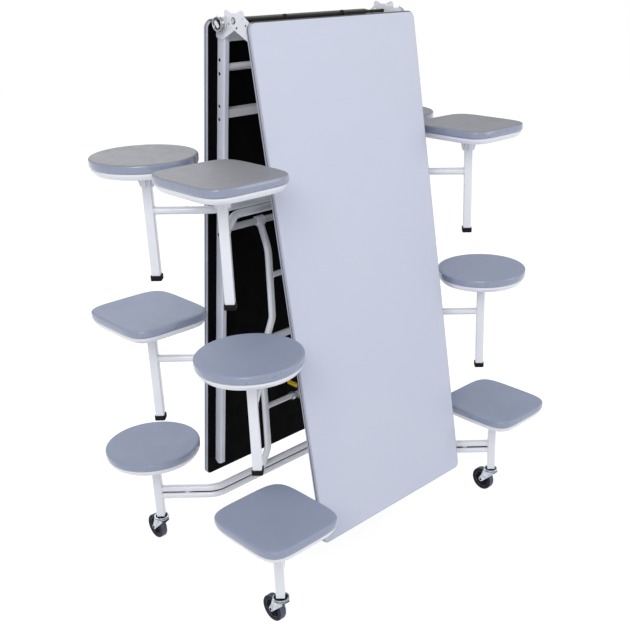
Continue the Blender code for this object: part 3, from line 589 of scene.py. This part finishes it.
def pivot_bar(half, level):
    """A smooth tube with turned-in ends and a washer at each rail."""
    low, high = (RAIL_WEB[side] - side * 0.0033 for side in (-1, 1))
    outer, inner, edge = BAR_RADIUS, 0.0107, 0.0006
    middle = Vector((0, PIVOT_Y, -PIVOTS[level]))
    bm = bmesh.new()
    lathe(bm, ((low, inner), (low, outer - edge), (low + edge, outer), (high - edge, outer),
               (high, outer - edge), (high, inner)), middle, ACROSS, closed=True)
    washer = ((0.0, outer), (0.0, 0.0185), (0.0012, 0.019), (0.0026, 0.0185),
              (0.0032, outer + 0.0012), (0.0046, outer))
    for side, end in ((-1, low), (1, high)):
        lathe(bm, washer, middle + ACROSS * end, ACROSS * -side)
    name = f"{half}_{LEVELS[level]}"
    # The bar's darker paint is painted shade.
    piece(bm, f"pivot_bar_finished_{name}", (BAR_PAINTED_SHADE,), f"{half}_leaf",
          leaf_place(half), (f"pivot_bar_{name}",))


# Centre hinge
def hinge_plate(half, side):
    """One arm of the crossed plates, with notched sides, and holes and plugs in it."""
    inside = RAIL_WEB[side] + side * 0.0003
    low_x, high_x = sorted((inside, inside + side * 0.004))
    tip = (-0.0326, 0.0268, 0.0109)
    shoulder = (0.0461, 0.0, 0.010)
    low_end = ((0.0865, -0.036, 0.010), (0.0865, -0.062, 0.010), (0.0645, -0.062, 0.010))
    forms = [(tip, (0.0, 0.0, 0.0175)), ((0.0, 0.0, 0.024), (0.020, -0.018, 0.0205)),
             ((0.012, -0.004, 0.0185), shoulder, low_end[0]),
             ((0.006, -0.008, 0.022),) + low_end]
    first, *others = [prism(hull_outline(form), low_x, high_x) for form in forms]
    plate = combine(first, others, "UNION")
    plugged = [(0.0285, -0.0150, 0.0032)]
    if side > 0:
        plugged = [(0.0593, -0.0213, 0.0036), (0.0112, -0.0238, 0.0042)]
    holes = [(*tip[:2], 0.0030), (*shoulder[:2], 0.0034)] + plugged
    past = 0.002
    tools = [rod_x(low_x - past, high_x + past, 0.0, 0.0, 0.0063, 40)]
    tools += [rod_x(low_x - past, high_x + past, y, z, radius, 20) for y, z, radius in holes]
    plate = combine(plate, tools, "DIFFERENCE")
    for y, z, radius in plugged:
        lathe(plate, ((0.0004, 0.0), (0.0004, radius - 0.0002), (0.0034, radius - 0.0002),
                      (0.0034, 0.0)), Vector((inside, y, z)), ACROSS * side, 20, 1)
    name = f"{half}_{side_name(half, side)}"
    piece(plate, f"hinge_plate_finished_{name}", (PAINT, BLACK_SCREW_AND_PAINTED_SHADE), f"{half}_leaf",
          leaf_place(half), (f"hinge_plate_{name}",), bevel=0.0006)
    if side < 0:
        spring_hub(half, name)


def spring_hub(half, name):
    """The spool that the spring sits on, with a flange and a boss of two lobes."""
    bm = bmesh.new()
    length = 0.0171
    spot = Vector((-HINGE_OUTSIDE, SPRING_Y, SPRING_Z))
    lathe(bm, ((-0.0052, 0.0), (-0.0052, 0.0085), (0.0, 0.0085), (0.0, 0.0239), (0.0004, 0.0239),
               (0.0018, 0.0236), (0.0020, 0.0232), (0.0020, 0.0)), spot, -ACROSS, 48)
    lathe(bm, ((0.0018, 0.0), (0.0018, 0.0148), (length + 0.0010, 0.0148),
               (length + 0.0020, 0.0138), (length + 0.0020, 0.0)), spot, -ACROSS, 48, 1)
    lobes = hull_outline([(SPRING_Y + way * 0.0052, SPRING_Z + way * 0.0046, 0.0066)
                          for way in (-1, 1)], 40)
    along_x(bm, lobes, [-HINGE_OUTSIDE - length - out for out in (0.0012, 0.0042)])
    piece(bm, f"spring_spool_{name}", (PAINT, BLACK_SCREW_AND_PAINTED_SHADE), f"{half}_leaf",
          leaf_place(half))


def hinge_spring(half):
    """The torsion spring as one smooth wire, with its two legs."""
    pitch, radius, wire = 0.0054, 0.0215, 0.0021
    wound = 6 * math.pi + math.radians(60)
    start_x = -HINGE_OUTSIDE - 0.0047
    coil = []
    steps = 110
    for step in range(steps + 1):
        angle = wound * step / steps
        coil.append(Vector((start_x - pitch * angle / (2 * math.pi),
                            SPRING_Y + radius * math.cos(angle),
                            SPRING_Z + radius * math.sin(angle))))
    leaving = Vector((0, -math.sin(wound), math.cos(wound)))
    bm = bmesh.new()
    sweep(bm, [coil[0] - UP * 0.024] + coil + [coil[-1] + leaving * 0.016], wire, 16)
    side = side_name(half, -1)
    piece(bm, f"hinge_spring_finished_{side}", (SPRING_STEEL,), f"{half}_leaf",
          leaf_place(half), (f"hinge_spring_{side}",))


def centre_axle():
    """The through axle, its heads and washers, and the ears for the levelling rods."""
    bm, ears, pins = bmesh.new(), bmesh.new(), bmesh.new()
    place = Matrix.Translation((0, 0, HINGE_Z))
    lathe(bm, ((-HINGE_OUTSIDE, AXLE_RADIUS), (HINGE_OUTSIDE, AXLE_RADIUS)), Vector((0, 0, 0)),
          ACROSS, 40, 1)
    washer = ((0.0, 0.0), (0.0, 0.0108), (0.0008, 0.0109), (0.0010, 0.0106), (0.0010, 0.0))
    head = ((0.0008, 0.0), (0.0008, 0.0088), (0.0022, 0.0088), (0.0030, 0.0080),
            (0.0032, 0.0068), (0.0022, 0.0062), (0.0022, 0.0054), (0.0034, 0.0048),
            (0.0036, 0.0))
    pin = ((0.0, 0.0), (0.0, 0.0049), (0.0100, 0.0049), (0.0105, 0.0044), (0.0105, 0.0))
    near, far = 0.1295, 0.1345
    for side in (-1, 1):
        out = ACROSS * side
        lathe(bm, washer, out * HINGE_OUTSIDE, out, 40, 1)
        lathe(bm, head, out * HINGE_OUTSIDE, out)
        along_x(ears, hull_outline(((0.0, 0.0, 0.012), (side * CRANK_Y, CRANK_Z, 0.010)), 48),
                sorted((side * near, side * far)))
        lathe(pins, pin, Vector((side * far, side * CRANK_Y, CRANK_Z)), out, 24)
    piece(bm, "centre_axle_finished", (ZINC, AXLE), "centre", place, ("centre_axle",))
    piece(ears, "rod_ears", (AXLE,), "centre", place, bevel=0.0006)
    piece(pins, "rod_root_pins", (ZINC,), "centre", place)


# Stool frames
def seat_ring(shape, inset, centre, z):
    """The seat's outline seen from above, round or nearly square with bowed sides."""
    half_x, half_y, power = FORMS[shape]
    points = []
    count = 112
    for index in range(count):
        angle = index * 2 * math.pi / count
        across, along = math.cos(angle), math.sin(angle)
        reach = (abs(across) ** power + abs(along) ** power) ** (-1 / power)
        points.append(Vector((centre[0] + (half_x - inset) * reach * across,
                              centre[1] + (half_y - inset) * reach * along, z)))
    return points


def seat_pad(half, level, side):
    """A moulded seat with a rounded edge and a slightly dished top."""
    shape = SHAPES[half][level]
    centre = (side * SEAT_X, SEAT_Y)
    bottom = PAN_TOP + 0.0003
    profile = [(0.0120, bottom), (0.0062, bottom), (0.0034, bottom + 0.0008),
               (0.0013, bottom + 0.0026), (0.0002, bottom + 0.0058), (0.0, bottom + 0.0100)]
    profile += [(SEAT_ROUND * (1 - math.cos(angle)), SEAT_TOP - SEAT_ROUND * (1 - math.sin(angle)))
                for angle in quarter_turn(9)[1:]]
    profile += [(inset, SEAT_TOP - dish) for inset, dish in (
        (0.0120, 0.0001), (0.0200, 0.0006), (0.0360, 0.0014), (0.0700, 0.0024),
        (0.1100, 0.0030), (0.1450, 0.0033))]
    bm = bmesh.new()
    skin(bm, [seat_ring(shape, inset, centre, z) for inset, z in profile])
    dished = SEAT_TOP - 0.0036
    for face in bm.faces:
        if face.calc_center_median().z < dished:
            face.material_index = 1
    # Upper seats get the neutral grey top, which is painted reflection; the other seats get the
    # seat's own blue-grey.
    top = UPPER_SEAT_PAINTED_REFLECTION if LEVELS[level] == "upper" else SEAT
    name = f"{half}_{LEVELS[level]}_{side_name(half, side)}"
    piece(bm, f"seat_moulded_{name}", (top, SEAT_EDGE), f"stools_{half}_{LEVELS[level]}",
          stool_place(half, level), (f"seat_{name}",), angle=60)


def seat_pan(bm, shape, centre):
    """The white dish under a seat, with a rounded rim and an open underside."""
    profile = [(0.0046, PAN_TOP), (0.0041, PAN_TOP - 0.0006), (0.0040, PAN_TOP - 0.0050),
               (0.0048, PAN_TOP - 0.0074), (0.0068, PAN_TOP - 0.0110), (0.0122, PAN_LOW + 0.0030),
               (0.0134, PAN_LOW + 0.0010), (0.0148, PAN_LOW), (0.0158, PAN_LOW),
               (0.0163, PAN_LOW + 0.0008), (0.0150, PAN_LOW + 0.0034),
               (0.0104, PAN_TOP - 0.0100), (0.0095, PAN_TOP - 0.0025)]
    skin(bm, [seat_ring(shape, inset, centre, z) for inset, z in profile])


def post(bm, centre, bottom, lower):
    """A square post with rounded corners and, over a caster, its black end plug."""
    corner = 0.0040
    top = PAN_TOP - 0.0012
    if lower:
        plug = ((0.0150, 0.0001), (0.0156, 0.0007), (0.0156, 0.0030))
        skin(bm, [rounded_square(half, corner, centre, bottom + z) for half, z in plug], 2)
        bottom += 0.0030
    skin(bm, [rounded_square(half, corner, centre, z) for half, z in
              ((POST_HALF - 0.0006, bottom), (POST_HALF, bottom + 0.0006), (POST_HALF, top))])
    wings(bm, Vector((*centre, top)))


def wings(bm, top):
    """Crossed gussets from the post's top out to the pan, with bolts and welds."""
    outline = ((-0.0405, 0.0), (-0.0402, -0.0040), (-0.0245, -0.0760), (-0.0225, -0.0788),
               (-0.0200, -0.0798))
    outline += tuple((-x, z) for x, z in reversed(outline))
    sections = ((0.0006, -0.0020), (0.0, -0.0014), (0.0, 0.0014), (0.0006, 0.0020))
    reach, slope_start = 0.041, -0.05
    for angle in (math.pi / 4, 3 * math.pi / 4):
        along = Vector((math.cos(angle), math.sin(angle), 0))
        across = along.cross(UP)
        skin(bm, [[top + along * (x * (1 - inset / reach))
                   + UP * (z + inset * (z < slope_start)) + across * y for x, z in outline]
                  for inset, y in sections])
        for way in (-1, 1):
            spot = top + along * (way * 0.0285) - UP * 0.0150
            hex_nut(bm, spot + across * 0.0019, across, 0.0052, 0.0030, 1)
            screw(bm, spot - across * 0.0019, -across, 0.0048, 0.0026, 1)
        for side in (-1, 1):
            for way in (-1, 1):
                start = top + along * (way * 0.0158) + across * (side * 0.0020)
                sweep(bm, [start - UP * drop for drop in (0.0770, 0.0500, 0.0200)], 0.0014, 8)


def uprights(bm, level):
    """The two bent tubes from the cross bar up to the pivot bar, with their sleeves."""
    upper = LEVELS[level] == "upper"
    foot_z = ARM_HEIGHTS[level][0]
    bore, outer, edge, half_sleeve = 0.01305, 0.01845, 0.0012, 0.018
    for side in (-1, 1):
        if upper:
            foot = ((side * BOW_X, ARM_Y, foot_z), (side * BOW_X, ARM_Y, -BEND_DROP))
        else:
            foot = ((side * BOW_FOOT_X, ARM_Y, foot_z),
                    (side * BOW_FOOT_X, BOW_Y, foot_z + 0.105),
                    (side * BOW_FOOT_X, BOW_Y, -BEND_DROP))
        top = Vector((side * BOW_X, 0.0, 0.0))
        sweep(bm, rounded_path(foot + (top,), 0.070), BOW_RADIUS)
        start = Vector(foot[0])
        ahead = (Vector(foot[1]) - start).normalized()
        reach = 0.0142 if upper else 0.0125
        bead(bm, start + ahead * reach, ahead, BOW_RADIUS + 0.0004)
        low, high = side * BOW_X - half_sleeve, side * BOW_X + half_sleeve
        lathe(bm, ((low, bore), (low, outer - edge), (low + edge, outer), (high - edge, outer),
                   (high, outer - edge), (high, bore)), Vector((0, 0, 0)), ACROSS, 44, closed=True)
        ahead = (top - Vector(foot[-1])).normalized()
        bead(bm, top - ahead * 0.0188, ahead, BOW_RADIUS + 0.0002)
    ear_low, ear_high = 0.1466, 0.1514
    along_x(bm, hull_outline(((-0.0165, -0.0110, 0.0090), (CRANK_Y, CRANK_Z, 0.010)), 40),
            (ear_low, ear_high))
    crank = Vector((0, CRANK_Y, CRANK_Z))
    lathe(bm, ((ROD_X - 0.0014, 0.0), (ROD_X - 0.0014, 0.0042), (ROD_X - 0.0010, 0.0048),
               (ear_low + 0.0004, 0.0048)), crank, ACROSS, 24, 1)
    hex_nut(bm, crank + ACROSS * (ear_high - 0.0002), ACROSS, 0.0070, 0.0040, 1)
    if not upper:
        middle = Vector((0, BOW_Y, STRETCHER_Z))
        lathe(bm, ((-BOW_FOOT_X, STRETCHER_RADIUS), (BOW_FOOT_X, STRETCHER_RADIUS)), middle,
              ACROSS, 32)
        for side in (-1, 1):
            bead(bm, middle + ACROSS * (side * (BOW_FOOT_X - 0.0128)), ACROSS, 0.0114, 0.0020)


def cross_bars(bm, level):
    """The cross bars between the two posts, bent out at their ends, with their welds, and black
    painted shade on the facing sides of double bars.
    """
    heights = ARM_HEIGHTS[level]
    middle = sum(heights) / len(heights)
    double = len(heights) == 2
    painted_shade_half = 0.0028
    for z in heights:
        corners = ((-SEAT_X, SEAT_Y, z), (-KNEE_X, ARM_Y, z), (KNEE_X, ARM_Y, z),
                   (SEAT_X, SEAT_Y, z))
        sweep(bm, rounded_path(corners, 0.080, 16), ARM_RADIUS)
        # Between the two bars of a double row, the facing strips of the tubes take the black third
        # material: painted shade of the narrow gap.
        if double:
            for face in bm.faces:
                off = abs(face.calc_center_median().z - middle)
                if off < painted_shade_half and not face.material_index:
                    face.material_index = 2
        for side in (-1, 1):
            ahead = Vector((side, 1, 0)).normalized()
            spot = Vector((side * SEAT_X, SEAT_Y, z)) - ahead * (POST_HALF + 0.0004)
            bead(bm, spot, ahead, ARM_RADIUS + 0.0003)
    if double:
        for side in (-1, 1):
            out = Vector((side, 1, 0)).normalized()
            for centre, along in (((side * (SEAT_X - 0.0825), SEAT_Y - 0.0825), out),
                                  ((side * BOW_FOOT_X, ARM_Y), ACROSS)):
                bridge(bm, Vector((*centre, middle)), along)


def bridge(bm, middle, along):
    """A lumpy weld that joins the double bars."""
    across = along.cross(UP)
    rings = []
    for step in range(9):
        share = step / 8 * 2 - 1
        swell = 0.0034 * math.sqrt(max(1 - share * share, 0.02))
        swell *= 1 + 0.15 * math.sin(step * 2.4)
        rings.append(ring(middle + along * (share * 0.014), across * 2.0, UP, swell, 12))
    skin(bm, rings)


def stool_frame(half, level):
    """The welded frame of one row, as one piece with its pans."""
    lower = LEVELS[level] == "lower"
    bottom = CASTER_HEIGHT - PIVOT_HEIGHT if lower else 0.0113 - PIVOT_HEIGHT
    stem = ((0.002, 0.006), (-0.0075, 0.006), (-0.008, 0.0055), (-0.008, 0.0))
    bm = bmesh.new()
    for side in (-1, 1):
        centre = (side * SEAT_X, SEAT_Y)
        seat_pan(bm, SHAPES[half][level], centre)
        post(bm, centre, bottom, lower)
        if lower:
            lathe(bm, stem, Vector((*centre, bottom)), UP, 24, 1)
    cross_bars(bm, level)
    uprights(bm, level)
    row = f"{half}_{LEVELS[level]}"
    piece(bm, f"stool_frame_finished_{row}", (PAINT, ZINC, RUBBER_AND_PAINTED_SHADE), f"stools_{row}",
          stool_place(half, level), (f"stool_frame_{row}",))


def foot(half, level, side):
    """A rubber cap with a rounded rim and a groove round its skirt."""
    centre = (side * SEAT_X, SEAT_Y)
    base = 0.006 - PIVOT_HEIGHT
    inner = POST_HALF + 0.0003
    outer = inner + 0.0030
    sections = ((outer - 0.0030, 0.0), (outer - 0.0010, 0.0006), (outer, 0.0022),
                (outer, 0.0060), (outer - 0.0007, 0.0068), (outer - 0.0007, 0.0078),
                (outer, 0.0086), (outer, 0.0184), (outer - 0.0006, 0.0197),
                (outer - 0.0016, 0.0200), (inner, 0.0192), (inner, 0.0050))
    bm = bmesh.new()
    skin(bm, [rounded_square(size, 0.0048, centre, base + rise, 6) for size, rise in sections])
    name = f"{half}_{LEVELS[level]}_{side_name(half, side)}"
    piece(bm, f"foot_cap_{name}", (RUBBER_AND_PAINTED_SHADE,), f"stools_{half}_{LEVELS[level]}",
          stool_place(half, level), (f"foot_{name}",))


# Casters
def caster(half, side):
    """A swivel fork and the wheel it carries, trailing outwards."""
    away = 1.0 if half == "back" else -1.0
    place = stool_place(half, 2) @ Matrix.Translation((side * SEAT_X, SEAT_Y, -PIVOT_HEIGHT))
    name = f"{half}_{side_name(half, side)}"
    caster_fork(name, away, place)
    caster_wheel(name, away, place)


def race(bm):
    """The swivel's race rings with black rings painted as shade in the grooves between them, and
    its row of balls.
    """
    centre = Vector((0, 0, 0))
    lathe(bm, ((0.1150, 0.0242), (0.1157, 0.0250), (0.1157, 0.0280), (0.1151, 0.0294),
               (0.1142, 0.0299), (0.1134, 0.0296), (0.1129, 0.0280), (0.1128, 0.0242)),
          centre, UP, 48, 0, closed=True)
    # The black rings (material 1) sit in the grooves as painted shade of the recesses.
    for profile, mat in (
            (((0.1151, 0.0), (0.1151, 0.0246), (0.1096, 0.0250), (0.1096, 0.0)), 1),
            (((0.1098, 0.0), (0.1098, 0.0246), (0.1097, 0.0284), (0.1090, 0.0298),
              (0.1080, 0.0299), (0.1072, 0.0288), (0.1069, 0.0262), (0.1069, 0.0)), 0),
            (((0.1071, 0.0), (0.1071, 0.0252), (0.1058, 0.0252), (0.1058, 0.0)), 1),
            (((0.1060, 0.0), (0.1060, 0.0262), (0.1042, 0.0260), (0.1030, 0.0252),
              (0.1027, 0.0240), (0.1027, 0.0)), 0)):
        lathe(bm, profile, centre, UP, 48, mat)
    ball = ((-0.0012, 0.0), (-0.0009, 0.0009), (0.0, 0.0013), (0.0009, 0.0009), (0.0012, 0.0))
    for index in range(20):
        angle = index * math.pi / 10
        lathe(bm, ball, Vector((RACE_RADIUS * math.cos(angle), RACE_RADIUS * math.sin(angle),
                                0.1111)), UP, 10)


def caster_fork(name, away, place):
    """The zinc fork: its race, two hollowed legs, their shoulders, and the wheel's axle."""
    trail = away * TRAIL
    heel, past = 0.1007, 0.002
    half_width, wall = 0.0185, 0.0022
    outer_curve = (away * 0.1552, 0.1309, 0.1312, 160)
    inner_curve = (away * -0.0895, -0.0217, 0.1285, 160)
    axle_hole = (trail, WHEEL_RADIUS, 0.0042, 32)
    bm = bmesh.new()
    race(bm)
    for way in (-1, 1):
        low, high = sorted((way * FORK_INSIDE, way * FORK_OUTSIDE))
        leg = prism(hull_outline(((-0.018, heel, 0.008), (0.018, heel, 0.008),
                                  (trail, WHEEL_RADIUS, 0.010))), low, high)
        hollows = [rod_x(low - past, high + past, *circle)
                   for circle in (outer_curve, inner_curve, axle_hole)]
        leg = combine(leg, hollows, "DIFFERENCE")
        joined = bpy.data.meshes.new("leg")
        leg.to_mesh(joined)
        leg.free()
        bm.from_mesh(joined)
        bpy.data.meshes.remove(joined)
        shoulder = []
        for angle in quarter_turn(6):
            x = way * (FORK_INSIDE + 0.0012 - 0.0060 * (1 - math.cos(angle)))
            z = 0.1004 + 0.0048 * math.sin(angle)
            inner_x = x - way * wall * math.cos(angle)
            inner_z = z - wall * math.sin(angle)
            shoulder.append([Vector((x, -half_width, z)), Vector((x, half_width, z)),
                             Vector((inner_x, half_width, inner_z)),
                             Vector((inner_x, -half_width, inner_z))])
        skin(bm, shoulder)
        end = Vector((way * (FORK_OUTSIDE - 0.0001), trail, WHEEL_RADIUS))
        lathe(bm, ((0.0, 0.0078), (0.0006, 0.0078), (0.0008, 0.0072), (0.0008, 0.0)), end,
              ACROSS * way, 32)
        hex_nut(bm, end + ACROSS * (way * 0.0004), ACROSS * way, 0.0060, 0.0016, 1)
    lathe(bm, ((-FORK_OUTSIDE, 0.0), (-FORK_OUTSIDE, 0.0036), (FORK_OUTSIDE, 0.0036),
               (FORK_OUTSIDE, 0.0)), Vector((0, trail, WHEEL_RADIUS)), ACROSS, 24)
    piece(bm, f"caster_fork_finished_{name}", (ZINC, BLACK_SCREW_AND_PAINTED_SHADE), f"caster_{name}", place,
          (f"caster_fork_{name}",))


def caster_wheel(name, away, place):
    """A wheel with a grey tread, dark walls and a spoked black core."""
    middle = Vector((0, away * TRAIL, WHEEL_RADIUS))
    bm = bmesh.new()
    near = [(-0.0094, 0.0330), (-0.0112, 0.0350), (-WHEEL_HALF, 0.0362), (-WHEEL_HALF, 0.0448)]
    near += [(-WHEEL_HALF + TYRE_ROUND * (1 - math.cos(angle)),
              WHEEL_RADIUS - TYRE_ROUND * (1 - math.sin(angle))) for angle in quarter_turn(6)]
    near.append((-0.0030, WHEEL_RADIUS))
    lathe(bm, near + [(-x, radius) for x, radius in reversed(near)], middle, ACROSS, 72,
          closed=True)
    for face in bm.faces:
        if abs(face.calc_center_median().x) > WHEEL_HALF - 0.0016:
            face.material_index = 2
    core = [(-0.0154, 0.0046), (-0.0154, 0.0128), (-0.0148, 0.0138), (-0.0106, 0.0146),
            (-0.0092, 0.0160), (-0.0092, 0.0334)]
    lathe(bm, core + [(-x, radius) for x, radius in reversed(core)], middle, ACROSS, 56, 1,
          closed=True)
    for way in (-1, 1):
        for index in range(8):
            angle = index * math.pi / 4
            out = Vector((0, math.cos(angle), math.sin(angle)))
            along = Vector((0, -math.sin(angle), math.cos(angle)))
            rings = []
            for reach, width, depth in ((0.0136, 0.0020, 0.0026), (0.0340, 0.0016, 0.0020)):
                spot = middle + ACROSS * (way * 0.0094) + out * reach
                rings.append([spot + along * (a * width) + ACROSS * (b * depth)
                              for a, b in ((-1, -1), (1, -1), (0.7, 1), (-0.7, 1))])
            skin(bm, rings, 1)
    piece(bm, f"caster_wheel_finished_{name}", (TYRE, HUB, WALL), f"wheel_{name}", place,
          (f"caster_wheel_{name}",))


# Lock
def lock():
    """The hook over the front stretcher, its hub and handle, and the handle's grip."""
    place = stool_place("back", 2) @ Matrix.Translation((-0.060, BOW_Y, STRETCHER_Z))
    span, bore, mouth = 0.328046, 0.01165, 0.01265
    half, rise, handle_rise = 0.003, 0.012, 0.058
    bars = [((0.0, rise, 0.008), (-span, rise, 0.008))]
    handle = [(-0.049, rise, 0.0066), (-0.049, handle_rise, 0.0066), (0.016, handle_rise, 0.0066)]
    arm, *handles = [prism(hull_outline(pair), -half, half)
                     for pair in bars + list(zip(handle, handle[1:]))]
    hubs = [rod_x(-0.0079, 0.0079, 0.0, 0.0, bore + 0.0048, 48),
            rod_x(-half, half, -span, 0.0, mouth + 0.008, 48)]
    bm = combine(arm, hubs + handles, "UNION")
    reach = mouth + 0.010
    cuts = [rod_x(-0.011, 0.011, 0.0, 0.0, bore, 48), rod_x(-0.011, 0.011, -span, 0.0, mouth, 48)]
    cuts += [prism(((-span - wide, -reach), (-span + wide, -reach), (-span + wide, top),
                    (-span - wide, top)), -0.005, 0.005)
             for wide, top in ((mouth, 0.0), (reach, -0.003))]
    bm = combine(bm, cuts, "DIFFERENCE")
    piece(bm, "lock_finished", (ZINC,), "lock", place, ("lock_hook",), bevel=0.0006)
    bm = bmesh.new()
    rings = []
    grip_start, grip_length, steps = -0.0440, 0.0660, 24
    for step in range(steps + 1):
        share = step / steps
        swell = math.sin(math.pi * min(share / 0.14, (1 - share) / 0.10, 1.0) / 2) ** 0.6
        rib = 1 - 0.05 * (math.sin(step * math.pi / 2) ** 2 if 3 < step < 21 else 0)
        spot = Vector((0, grip_start + share * grip_length, handle_rise))
        points = []
        for index in range(28):
            angle = index * math.pi / 14
            a, b = math.cos(angle), math.sin(angle)
            radius = (abs(a) ** 3 + abs(b) ** 3) ** (-1 / 3) * max(swell, 0.3) * rib
            points.append(spot + ACROSS * (a * radius * 0.0062) + UP * (b * radius * 0.0092))
        rings.append(points)
    skin(bm, rings)
    piece(bm, "lock_grip", (YELLOW,), "lock", place)


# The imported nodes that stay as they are
def dress_nodes():
    """Finishes and softens the straight rails and the levelling rods."""
    for half in TURN:
        for name in (f"head_rail_{half}", f"cross_rail_{half}"):
            # The head and cross rails get the darker bar paint, which is painted shade.
            dress(name, BAR_PAINTED_SHADE, 0.0025)
        dress(f"level_rod_{half}", ZINC, 0.0012)


def dress(name, mat, width):
    """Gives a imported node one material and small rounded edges."""
    node = NODES[name]
    node.data.materials.clear()
    node.data.materials.append(mat)
    soften(node, width)


# Floor, light and camera
def white_when_seen(tree, lit, seen):
    """Mixes a plain shader in where the camera, gloss or glass looks straight at it."""
    nodes, links = tree.nodes, tree.links
    path = nodes.new("ShaderNodeLightPath")
    share = path.outputs["Is Camera Ray"]
    for name in ("Is Glossy Ray", "Is Transmission Ray"):
        either = nodes.new("ShaderNodeMath")
        either.operation = "MAXIMUM"
        links.new(share, either.inputs[0])
        links.new(path.outputs[name], either.inputs[1])
        share = either.outputs[0]
    mix = nodes.new("ShaderNodeMixShader")
    links.new(share, mix.inputs["Fac"])
    links.new(lit, mix.inputs[1])
    links.new(seen, mix.inputs[2])
    return mix.outputs["Shader"]


def studio():
    """A white room that keeps the table's shadow, lit by three soft lamps."""
    world = bpy.data.worlds.new("studio")
    SCENE.world = world
    world.use_nodes = True
    tree = world.node_tree
    lit = tree.nodes["Background"]
    lit.inputs["Color"].default_value = (0.93, 0.95, 1.0, 1.0)
    lit.inputs["Strength"].default_value = 0.62
    seen = tree.nodes.new("ShaderNodeBackground")
    seen.inputs["Color"].default_value = (1.0, 1.0, 1.0, 1.0)
    seen.inputs["Strength"].default_value = 1.0
    both = white_when_seen(tree, lit.outputs[0], seen.outputs[0])
    tree.links.new(both, tree.nodes["World Output"].inputs["Surface"])

    bm = bmesh.new()
    bmesh.ops.create_circle(bm, cap_ends=True, segments=96, radius=14.0)
    floor = as_object(bm, "floor")
    floor.location.z = -0.0005
    mat = bpy.data.materials.new("studio_floor")
    mat.use_nodes = True
    nodes, links = mat.node_tree.nodes, mat.node_tree.links
    nodes.clear()
    out = nodes.new("ShaderNodeOutputMaterial")
    plain = nodes.new("ShaderNodeBsdfDiffuse")
    dim = nodes.new("ShaderNodeBsdfDiffuse")
    glow = nodes.new("ShaderNodeEmission")
    for shader, grey in ((plain, 0.80), (dim, 0.34), (glow, 0.84)):
        shader.inputs["Color"].default_value = (grey, grey, grey, 1.0)
    seen = nodes.new("ShaderNodeAddShader")
    links.new(dim.outputs[0], seen.inputs[0])
    links.new(glow.outputs[0], seen.inputs[1])
    both = white_when_seen(mat.node_tree, plain.outputs[0], seen.outputs[0])
    links.new(both, out.inputs["Surface"])
    floor.data.materials.append(mat)

    lamp("key", (-4.2, -3.4, 4.6), (0, 0, 0.9), 3.4, 150.0, (1.0, 0.99, 0.97))
    lamp("fill", (3.6, -5.2, 2.6), (0, 0, 1.0), 3.6, 60.0, (0.95, 0.97, 1.0))
    lamp("rim", (1.5, 4.6, 4.2), (0, 0, 1.1), 3.0, 60.0, (1.0, 1.0, 1.0))


def lamp(name, spot, target, size, power, colour):
    """A round area lamp that faces a target."""
    data = bpy.data.lights.new(name, "AREA")
    data.shape = "DISK"
    data.size = size
    data.energy = power
    data.color = colour
    obj = bpy.data.objects.new(name, data)
    obj.location = spot
    obj.rotation_euler = (Vector(target) - Vector(spot)).to_track_quat("-Z", "Y").to_euler()
    SCENE.collection.objects.link(obj)


def camera():
    """The photograph's camera: a long lens off to the table's left, slightly shifted."""
    eye = (-2.25088, -2.53404, 2.23706)
    azimuth, elevation, roll = 0.80863, -0.37852, -0.00853
    ahead = Vector((math.sin(azimuth) * math.cos(elevation),
                    math.cos(azimuth) * math.cos(elevation), math.sin(elevation)))
    level = Vector((math.cos(azimuth), -math.sin(azimuth), 0.0))
    rise = level.cross(ahead)
    right = level * math.cos(roll) + rise * math.sin(roll)
    up = rise * math.cos(roll) - level * math.sin(roll)
    data = bpy.data.cameras.new("camera")
    data.sensor_fit = "HORIZONTAL"
    data.sensor_width = 36.0
    data.lens = 52.953
    data.shift_x = -0.1306
    data.shift_y = 0.0073
    obj = bpy.data.objects.new("camera", data)
    obj.matrix_world = Matrix([(right[row], up[row], -ahead[row], eye[row]) for row in range(3)]
                              + [(0.0, 0.0, 0.0, 1.0)])
    SCENE.collection.objects.link(obj)
    SCENE.camera = obj


# Everything together
def build():
    """All pieces of the table."""
    centre_axle()
    for half in TURN:
        table_top(half)
        rail_screws(half)
        hinge_spring(half)
        for side in (-1, 1):
            side_rail(half, side)
            hinge_plate(half, side)
            caster(half, side)
        for level in range(len(LEVELS)):
            pivot_bar(half, level)
            stool_frame(half, level)
            for side in (-1, 1):
                seat_pad(half, level, side)
                if LEVELS[level] != "lower":
                    foot(half, level, side)
    lock()
    dress_nodes()


build()
studio()
camera()
SCENE.view_settings.view_transform = "Standard"
